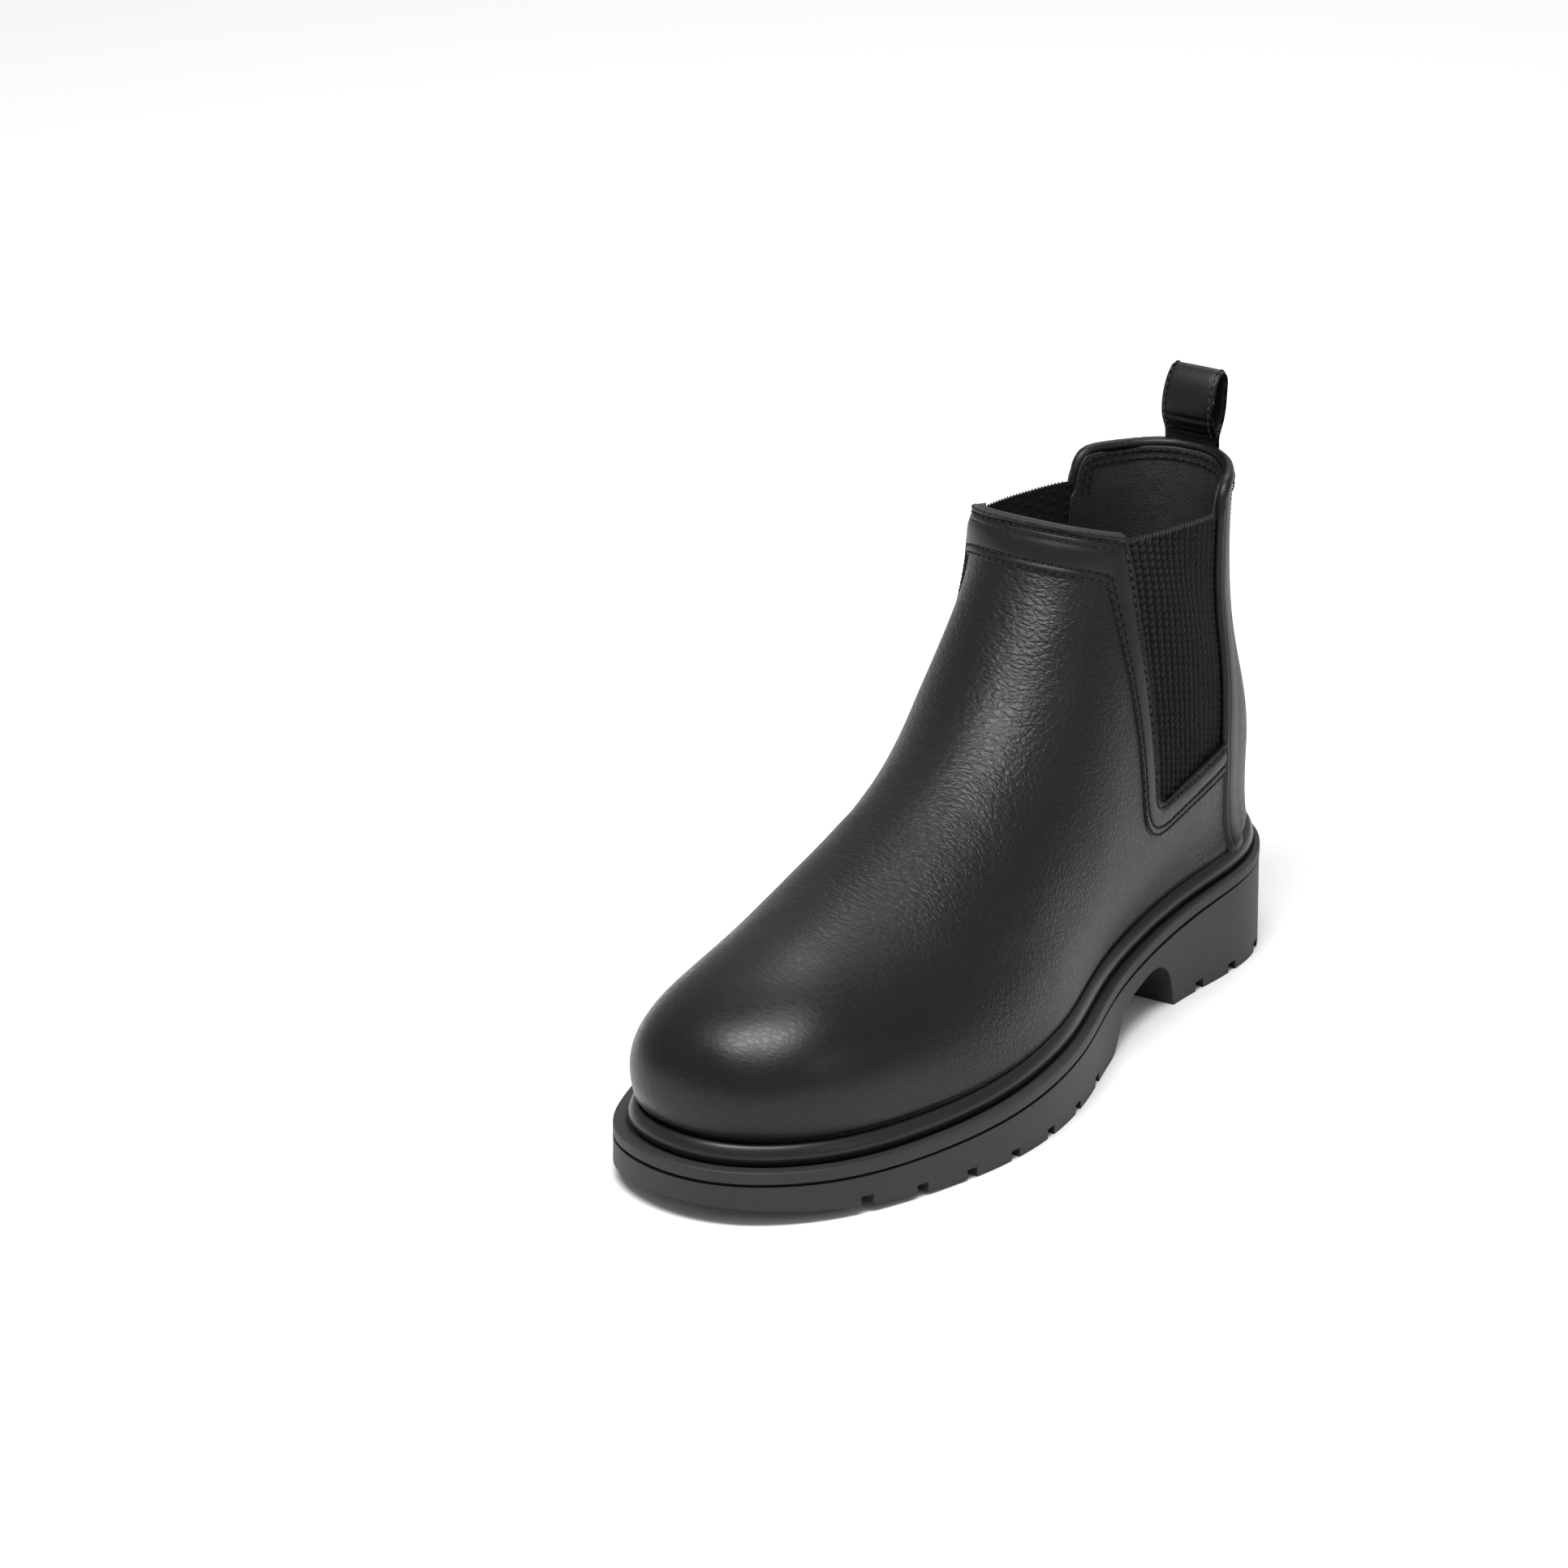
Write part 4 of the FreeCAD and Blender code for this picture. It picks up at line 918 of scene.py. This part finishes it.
# %% Stitches
def stitches(name, lines, material, pitch=3.0, length=2.1, radius=0.27, sink=0.0, lean=0.0):
    """Capsules along lines of (points, normals), one per pitch, turned a little by lean."""
    ring_at = np.array([-1.0, -0.86, -0.4, 0.4, 0.86, 1.0])
    ring_r = np.array([0.25, 0.75, 1.0, 1.0, 0.75, 0.25])
    turn = np.linspace(0, 2 * np.pi, 6, endpoint=False)
    all_points, all_faces, start = [], [], 0
    one = quads(len(ring_at), 6, wrap_columns=True)
    for centre, normal in lines:
        along = lengths(centre)
        at = np.arange(pitch / 2, along[-1] - pitch / 3, pitch)
        c = np.stack([np.interp(at, along, centre[:, i]) for i in range(3)], -1)
        n = np.stack([np.interp(at, along, normal[:, i]) for i in range(3)], -1)
        d = np.stack([np.interp(at + 0.5, along, centre[:, i]) for i in range(3)], -1) - \
            np.stack([np.interp(at - 0.5, along, centre[:, i]) for i in range(3)], -1)
        d /= np.linalg.norm(d, axis=1)[:, None]
        side = np.cross(n, d)
        side /= np.linalg.norm(side, axis=1)[:, None]
        d = d * math.cos(lean) + side * math.sin(lean)
        side = np.cross(n, d)
        bow = (1 - ring_at ** 2) * radius * 0.6 - sink
        c, d, n, side = (part[:, None, None, :] for part in (c, d, n, side))
        across = side * np.cos(turn)[None, None, :, None] + n * np.sin(turn)[None, None, :, None] * 0.8
        p = c + d * (ring_at * length / 2)[None, :, None, None] + n * bow[None, :, None, None] \
            + across * (ring_r * radius)[None, :, None, None]
        count = p.shape[1] * p.shape[2]
        offsets = start + np.arange(len(c)) * count
        all_points.append(p.reshape(-1, 3))
        all_faces += (one[None] + offsets[:, None, None]).reshape(-1, 4).tolist()
        for base in offsets:
            all_faces.append(list(range(base + 5, base - 1, -1)))
            all_faces.append(list(range(base + count - 6, base + count)))
        start += len(c) * count
    points = np.concatenate(all_points)
    a, b, c4, d4 = points[all_faces[14]]
    centre_of = points[:36].mean(0)
    if np.dot(np.cross(b - a, d4 - a), (a + c4) / 2 - centre_of) < 0:
        all_faces = [f[::-1] for f in all_faces]
    return put(name, points, all_faces, material)


def shifted_rows(lines, amount):
    """The same lines started later by an amount, so that holes fall between stitches."""
    found = []
    for centre, normal in lines:
        along = lengths(centre)
        at = np.arange(amount, along[-1], 0.7)
        found.append(tuple(np.stack([np.interp(at, along, part[:, i]) for i in range(3)], -1)
                           for part in (centre, normal)))
    return found


count = len(width)
top_first, top_last = 226, count - 226
rows = [laid(densely(strip_line(d, True), 0.7), lift) for d, lift in ((1.0, 0.38), (3.4, 0.32))]
rows += [laid(densely(strip_line(d, False, top_first, top_last), 0.7), 0.26) for d in (2.0, 4.4)]
facing_stitches = stitches("facing_stitches", rows, thread, length=2.3, radius=0.33)
edge_rows = [laid(densely(strip_line(2.0, False, 0, top_first - 4), 0.7), 0.26),
             laid(densely(strip_line(2.0, False, top_last + 4), 0.7), 0.26)]
light_stitches = stitches("facing_edge_stitches", edge_rows, thread_light, pitch=2.8, length=2.1, radius=0.33)
holes = stitches("facing_needle_holes", shifted_rows(rows, 1.5) + shifted_rows(edge_rows, 1.4), needle_hole,
                 pitch=3.0, length=0.85, radius=0.42, sink=0.1)
for piece in (facing_stitches, light_stitches, holes):
    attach(piece, "root")
print("stitches:", len(facing_stitches.data.polygons) // 32 + len(light_stitches.data.polygons) // 32)

# %% [markdown]
# The elastic is a woven web: rubber warps wrapped in yarn stand up as ribs, and the
# crossing yarn makes a chain of small loops along each rib. That is a height field:
# ribs across the panel times links along them. Pulled under the facing it is stretched
# coarse at the front and lies finer towards the back.

# %% Elastic panels
def gore_height(across, along_mm):
    """Height of the web: rounded ribs, each a chain of loops; alternate ribs are half a link out of step.
    across counts ribs, along_mm is the distance up the rib."""
    rib = np.abs(np.sin(np.pi * across))
    link = np.abs(np.sin(np.pi * (along_mm / 2.4 + 0.5 * (np.floor(across) % 2))))
    return (rib * link) ** 0.7


def gore_panel(name, side):
    """One elastic panel between pattern lines, tucked 4 mm under the leather on three edges."""
    ribs = 16
    across = np.linspace(0, ribs, ribs * 12 + 1)
    s = across / ribs
    tuck = 4.0
    x_low = GORE_FRONT + tuck + s * (BACK_LOW - GORE_FRONT - 2 * tuck)
    x_high = GORE_FRONT + tuck + s * (BACK_HIGH - GORE_FRONT - 2 * tuck)
    z_low = GORE_TIP - tuck + s * (GORE_HEEL - GORE_TIP)
    z_high = 160.2 + s * (151.4 - 160.2)
    rise = np.linspace(0, 1, 224)[:, None]
    z = z_low + (z_high - z_low) * rise
    x = x_low + (x_high - x_low) * rise
    bend = 1.2 * noise(np.stack([x, z, z * 0], -1), 22.0, 31)
    a = angle_of(x, z, side)
    coarse = 1.55 - 1.05 * step(s, 0.1, 0.85)
    h = gore_height(across[None, :] + 0.06 * bend, z + 0.4 * bend) * coarse
    h = h + 0.12 * noise(np.stack([x * 2, z * 2, z * 0], -1), 1.1, 32)
    close = step(rise, 0.0, 0.02) * (1 - step(rise, 0.992, 1.0))
    fade = step(s, 0.0, 0.03) * (1 - step(s, 0.97, 1.0))
    h = h * close * fade
    outer = shaft(a, z, 2.0 - h)
    dots = hump(np.sin(np.pi * across)[None, :], 0.9, 0.3) * hump(np.sin(np.pi * z / 1.6), 1.0, 0.35)
    inner = shaft(a, z, 2.75 + 0.3 * dots * close * fade)
    panel = sheet_mesh(name, outer, inner, elastic)
    # The web's height becomes its colour attribute: painted shade in the gaps, painted highlight on the
    # crowns, and on the back a mid tone that is paler at the dots.
    shade_by_height = panel.data.attributes.new("painted_relief_shade", "FLOAT", "POINT")
    level = np.clip(np.concatenate([(h / 0.9).ravel(), 0.25 + 0.9 * (dots * close * fade).ravel()]), 0, 1)
    shade_by_height.data.foreach_set("value", level.astype(np.float32))
    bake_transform(panel)
    top = np.stack([a[-1, 22:-22], z[-1, 22:-22] - 0.5], -1)
    return panel, top[::side]


def with_back(piece):
    """Bakes the piece's placement into its mesh."""
    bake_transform(piece)


for label, side in (("lateral", 1), ("medial", -1)):
    gore, top = gore_panel("elastic_web_" + label, side)
    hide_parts("gore_" + label)
    p, away = laid(densely(top, 0.5), -1.5)
    whip = stitches("elastic_top_whipping_" + label, [(p, away)], thread_light, pitch=1.9, length=1.6,
                    radius=0.3, lean=1.15)
    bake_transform(whip)
    print(gore.name, len(gore.data.polygons), "faces")

# %% [markdown]
# The back of the boot: a smooth facing beside each elastic, then the heel panel with its
# grain, both running down to the bead. Their lines are a little proud of each other, so
# each seam shows as a fine shadow.

# %% Rear facings and heel panel
REAR_BAND = 9.5


def back_top(x):
    """Height of the back's topline in side view, with its rounded front corner."""
    return np.interp(x, [-190, -150, -124.5, -122, -120, -118.5, -117.3, -116.5, -115.4, -110],
                     [160.9, 161.6, 162.0, 161.6, 160.5, 159.0, 157.0, 154.5, 150.3, 146.0])


def rear_facing(name, side):
    """The smooth strip beside the elastic, from the bead to the topline."""
    t = np.linspace(0, 1, 26)[None, :]
    rise = np.linspace(0, 1, 190)[:, None]
    z_top = back_top(-115.8 - REAR_BAND * t) - 1.5
    foot = sole_top(-112.0) + 1.0
    z = foot + (z_top - foot) * rise
    x = seam_x(z) - 0.1 - REAR_BAND * t
    a = angle_of(x, z, side)
    mm_in, mm_out = t * REAR_BAND * 1.15, (1 - t) * REAR_BAND * 1.15
    h = 0.75 * (1 - np.clip(1 - mm_in / 1.2, 0, 1) ** 2) - 0.5 * np.clip(1 - mm_out / 0.8, 0, 1) ** 2 \
        + 0.15 * hump(mm_in, 0.8, 0.6) - 0.35 * hump(mm_in, 2.2, 0.7) \
        + 0.35 * np.sin(np.pi * np.clip(mm_in / 11, 0, 1))
    h = h + 0.08 * noise(np.stack([x, np.broadcast_to(t * 9.0, x.shape), z], -1), 9.0, 41)
    return sheet_mesh(name, shaft(a, z, -h), shaft(a, z, 1.5), smooth)


def around_back(z, clear, count):
    """Angles from the outer side round the heel to the inner side, clear mm behind the rear seam."""
    x = seam_x(z) - clear
    first, last = angle_of(x, z, 1), angle_of(x, z, -1) + 2 * math.pi
    return first + (last - first) * np.linspace(0, 1, count)[None, :]


for label, side in (("lateral", 1), ("medial", -1)):
    strip = rear_facing("rear_facing_strip_" + label, side)
    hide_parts("rear_facing_" + label + "_lower", "rear_facing_" + label + "_upper")
    with_back(strip)

rise = np.linspace(0, 1, 150)[:, None]
low = sole_top(-135.0) + 1.5
level = low + (160.6 - low) * rise
a = around_back(level, REAR_BAND - 0.6, 170)
q = np.linspace(0, 1, 170)[None, :]
level = low + (np.minimum(back_top(shaft(a, level)[..., 0]), 161.6) - 1.0 - low) * rise + 0 * a
p = shaft(a, level)
edge = np.minimum(q, 1 - q) * 150
h = 0.25 * noise(p, 26.0, 51) + 0.08 * noise(p, 9.0, 52) - 0.5 * np.clip(1 - edge / 1.2, 0, 1) ** 2
h = h - 0.7 * np.clip(1 - (level - low - 5.5) / 1.6, 0, 1) ** 1.5 + 0.18
panel = sheet_mesh("heel_panel_skin", shaft(a, level, -h), shaft(a, level, 1.6), heel_grain)
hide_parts("heel_panel_lower", "heel_panel_upper")
with_back(panel)
print("heel panel:", len(panel.data.polygons), "faces")

# %% [markdown]
# The back's topline is turned over a filler, so it is a soft roll about 4.5 mm thick. It
# starts down beside the elastic, goes round the corner, and runs behind the heel.

# %% Topline roll and its stitches
def roll_line():
    """(angle, z) of the roll from the outer side's corner round the heel to the inner side's."""
    x = np.array([-114.6, -114.9, -115.4, -116.0, -117.0, -118.5, -120.5, -123.0, -127.0, -133.0])
    z = np.array([141.0, 146.0, 150.0, 153.6, 157.0, 159.4, 160.8, 161.4, 161.5, 161.3])
    along = lengths(np.column_stack([x, z]))
    fine = np.linspace(0, along[-1], 60)
    corner = cubic(along, np.column_stack([x, z]))(fine)
    first = angle_of(corner[:, 0], corner[:, 1], 1)
    last = angle_of(corner[:, 0], corner[:, 1], -1) + 2 * math.pi
    middle = np.linspace(first[-1], last[-1], 120)[1:-1]
    z_middle = np.full(118, 161.2) + 0.25 * hump(np.linspace(-1, 1, 118), 0, 0.5)
    return np.concatenate([np.stack([first, corner[:, 1]], -1), np.stack([middle, z_middle], -1),
                           np.stack([last, corner[:, 1]], -1)[::-1]])


roll = densely(roll_line(), 0.9)
p, away = laid(roll, 0.0)
along = lengths(p)
near_end = np.minimum(along, along[-1] - along)
size = 1.0 + 0.95 * step(near_end, 0, 22)
flare = 0.9 * hump(near_end, 20, 9)
centre = p - away * (1.7 - flare)[:, None]
centre[:, 2] -= size * 0.75
topline = cord_along("topline_roll", centre, away, size, smooth, corners=18, rough=0.05, seed=61)
with_back(topline)
rows = []
for drop in (3.3, 5.8):
    line = roll.copy()
    tangent = np.gradient(p, axis=0)
    tangent /= np.linalg.norm(tangent, axis=1)[:, None]
    inward = np.cross(away, tangent)
    inward *= np.sign(-inward[len(inward) // 2, 2])
    q_points = p + inward * drop
    angles = np.unwrap(np.arctan2(q_points[:, 1] - POLE[1], q_points[:, 0] - POLE[0]))
    rows.append(np.stack([angles, q_points[:, 2]], -1)[6:-6])
outside_rows = [laid(densely(r, 0.7), 0.55) for r in rows]
inside_rows = [laid(densely(r, 0.7), -4.0) for r in rows]
inside_rows = [(points, -normal) for points, normal in inside_rows]
back_stitches = stitches("topline_stitches", outside_rows + inside_rows, thread, pitch=3.0, radius=0.28)
with_back(back_stitches)
back_holes = stitches("topline_needle_holes", shifted_rows(outside_rows + inside_rows, 1.5), needle_hole,
                      pitch=3.0, length=0.8, radius=0.4, sink=0.1)
with_back(back_holes)
print("roll:", round(along[-1]), "mm long")

# %% [markdown]
# The lining is thin soft leather. Behind the foot it is pulled flat by the heel and folds
# a little under the topline; in front it follows the vamp round the window.

# %% Linings
LINING_FOOT = 30.0
rise = np.linspace(0, 1, 190)[:, None]
level = LINING_FOOT + (159.6 - LINING_FOOT) * rise
a = around_back(level, -1.0, 200)
level = LINING_FOOT + (np.minimum(back_top(shaft(a, level)[..., 0]), 161.0) - 1.6 - LINING_FOOT) * rise
p = shaft(a, level)
q = np.linspace(-1, 1, 200)[None, :]
# each fold: place round the back, lean, depth and half width as a share of the way round
FOLDS = [(-0.34, 0.30, 0.9, 0.045), (-0.2, 0.12, 0.7, 0.035), (-0.02, -0.05, 1.0, 0.05),
         (0.13, -0.2, 0.6, 0.035), (0.3, -0.34, 0.8, 0.045)]
folds = sum(deep * hump(q + place + lean * (160 - level) / 60, 0, wide_fold)
            for place, lean, deep, wide_fold in FOLDS) * step(level, 108, 132) * (1 - step(level, 148, 158))
soft = 0.35 * noise(p, 12.0, 71) + 0.1 * noise(p, 4.0, 72) + 0.55 * folds
back_lining = sheet_mesh("back_lining_skin", shaft(a, level, 2.8), shaft(a, level, 3.75 + soft),
                         lining_leather)
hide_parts("back_lining_lower", "back_lining_upper")
with_back(back_lining)

u = np.linspace(-0.93, 0.93, 240)[None, :]
v = np.linspace(0.0, 1, 110)[:, None]
p = smooth_rows(skin(u, v), 3)
n = normals(p)
x, z = p[..., 0], p[..., 2]
hidden = (x < seam_x(z) + 2) | (under_topline(x, z, 3.5) > 0) | in_window(x, z, 3.5)
keep = ~(hidden[:-1, :-1] & hidden[1:, :-1] & hidden[:-1, 1:] & hidden[1:, 1:])
front_lining = sheet_mesh("front_lining_skin", p - n * 2.8, p - n * 3.75, lining_leather, keep=keep)
t = np.linspace(0, 1, 10)
edge_in, edge_out = (both_sides(e)[:, None, :] for e in facing_edges(1.2, -4.0))
shares = np.broadcast_to(t, (edge_in.shape[0], 10))
rim_outer = on_strip(edge_in, edge_out, shares, 1.9 + 0.7 * np.sin(np.pi * shares))
rim_inner = on_strip(edge_in, edge_out, shares, 3.1 + 0.75 * np.minimum(shares * 4, 1))
lining_rim = sheet_mesh("front_lining_rim", rim_outer, rim_inner, lining_leather)
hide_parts("vamp_lining")
for piece in (front_lining, lining_rim):
    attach(piece, "root")
print("linings:", len(back_lining.data.polygons) + len(front_lining.data.polygons), "faces")

# %% [markdown]
# The pull tab is one strap folded into a loop. Its middle line is a spline in side view,
# and a rounded strap section is carried along it, thinned where the leather creases and
# along the two rows of stitches.

# %% Pull tab
tab_low, tab_high = (np.array(v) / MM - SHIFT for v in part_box("pull_tab"))
tab_y, tab_wide = (tab_low[1] + tab_high[1]) / 2, tab_high[1] - tab_low[1]
strap, foot_x, foot_z = 1.4, -143.9, 163.6
bulge, rise_top = 4.1, tab_high[2] - foot_z - strap / 2
side_line = [(0.8, -5.0), (0.8, -1.5), (0.8, 0), (bulge * 0.66, rise_top * 0.2), (bulge, rise_top * 0.48),
             (bulge * 0.94, rise_top * 0.72), (bulge * 0.62, rise_top * 0.92)]
loop = np.array(side_line + [(0, rise_top)] + [(-a, b) for a, b in side_line[::-1]])
loop[:, 0] = foot_x + loop[:, 0] - 0.17 * np.maximum(loop[:, 1], 0) ** 2 / rise_top
loop[:, 1] += foot_z
loop_at = lengths(loop)
spots = np.linspace(0, loop_at[-1], 150)
line = cubic(loop_at, loop)(spots)
d = np.gradient(line, axis=0)
d /= np.linalg.norm(d, axis=1)[:, None]
face_out = np.stack([-d[:, 1], d[:, 0]], -1)
face_out *= np.sign((line[75] - line[[0]].mean(0)) @ face_out[75])
half = np.concatenate([np.linspace(-1, 1, 22), np.linspace(1, -1, 22)])
skin_side = np.concatenate([np.ones(22), -np.ones(22)])
rounded = (1 - np.abs(half) ** 14) ** 0.5
puff = 0.5 * strap * rounded + 0.12 * (1 - half ** 2)
groove = 0.16 * hump(np.abs(half), 0.84, 0.05)
crease = sum(hump(spots, c, 0.7) for c in (7.0, 9.4, 12.2)) * 0.5
crease = crease[:, None] * (skin_side > 0) * (1 - 0.5 * half ** 2)
thick = (puff - groove)[None, :] * skin_side - 0.9 * crease
spread = np.stack(np.broadcast_arrays(half * 9, spots[:, None], 0.0), -1)
thick = thick + 0.1 * noise(spread, 6.0, 81)
narrow = 1 - 0.03 * hump(spots, spots[-1] / 2, 8.0)
rings = np.stack([line[:, None, 0] + face_out[:, None, 0] * thick,
                  tab_y + half[None, :] * (tab_wide / 2) * narrow[:, None],
                  line[:, None, 1] + face_out[:, None, 1] * thick], -1)
tab = tube_mesh("pull_tab_loop_strap", rings, smooth)
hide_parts("pull_tab")
ends_y = np.linspace(-0.5, 0.5, 20)[None, :] * tab_wide + tab_y
ends_z = np.linspace(141.5, 161.0, 30)[:, None]
ends_angle = np.pi - np.arcsin(ends_y / 52.0)
tab_ends = sheet_mesh("pull_tab_sewn_ends", shaft(ends_angle, ends_z, 1.7),
                      shaft(ends_angle, ends_z, 2.65), smooth)
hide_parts("pull_tab_ends")
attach(tab_ends, "shaft_back")
rows = []
for edge_side in (-1, 1):
    row_y = np.full(150, tab_y + edge_side * tab_wide / 2 * 0.84)
    on_face = line + face_out * 0.72
    path = np.stack([on_face[:, 0], row_y, on_face[:, 1]], -1)[14:-14]
    rows.append((path, np.stack([face_out[14:-14, 0], np.zeros(122), face_out[14:-14, 1]], -1)))
tab_stitches = stitches("pull_tab_stitches", rows, thread_light, pitch=2.6, length=1.7, radius=0.27)
tab_holes = stitches("pull_tab_needle_holes", shifted_rows(rows, 1.3), needle_hole, pitch=2.6, length=0.7,
                     radius=0.36, sink=0.08)
for piece in (tab, tab_stitches, tab_holes):
    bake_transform(piece)
print("tab:", tab_wide.round(1), "mm wide, loop", round(spots[-1]), "mm long")

# %% [markdown]
# Inside, the load-bearing model's own solids stay: the footbed under its leather sock,
# and, out of sight between the layers, filler, board, shank, toe puff and counter.

# %% Finishes of the inner parts
def fleck(name, base, light, roughness, size_mm, **surface):
    """A plain material with flecks of a second tone and a fine tooth."""
    material, tree, shader = new_material(name, base, roughness, **surface)
    place = add(tree, "ShaderNodeTexCoord").outputs["Object"]
    flecks = add(tree, "ShaderNodeTexNoise", {"Vector": place}, Scale=1000 / size_mm, Detail=4.0)
    tone = add(tree, "ShaderNodeMix", {0: ramp(tree, flecks.outputs["Fac"], 0.4, 0.65)}, data_type="RGBA")
    tone.inputs[6].default_value, tone.inputs[7].default_value = colour(base), colour(light)
    tree.links.new(tone.outputs[2], shader.inputs["Base Color"])
    bump = add(tree, "ShaderNodeBump", {"Height": flecks.outputs["Fac"]}, Strength=0.6, Distance=0.0003)
    tree.links.new(bump.outputs[0], shader.inputs["Normal"])
    return material


inner_finish = {
    "outsole": sole_rubber, "sock_lining": lining_leather,
    "footbed": fleck("open_cell_footbed_foam", "2b2c2e", "3a3b3e", 0.9, 1.2),
    "bottom_filler": fleck("pressed_cork_filler", "8a6238", "5a3b20", 0.9, 3.0),
    "insole_board": fleck("cellulose_fibre_board", "b59b74", "9a8060", 0.85, 0.8),
    "steel_shank": fleck("rolled_spring_steel", "8d9093", "a3a6a9", 0.32, 6.0, Metallic=1.0),
    "toe_puff": fleck("thermoplastic_stiffener_sheet", "d8d2c4", "c4bdad", 0.7, 1.0),
    "heel_counter": fleck("leatherboard_counter", "9c7a55", "82633f", 0.8, 1.0)}
for node, finish in inner_finish.items():
    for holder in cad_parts[node].material_slots:
        holder.material = finish
print("finished", len(inner_finish), "frame nodes")
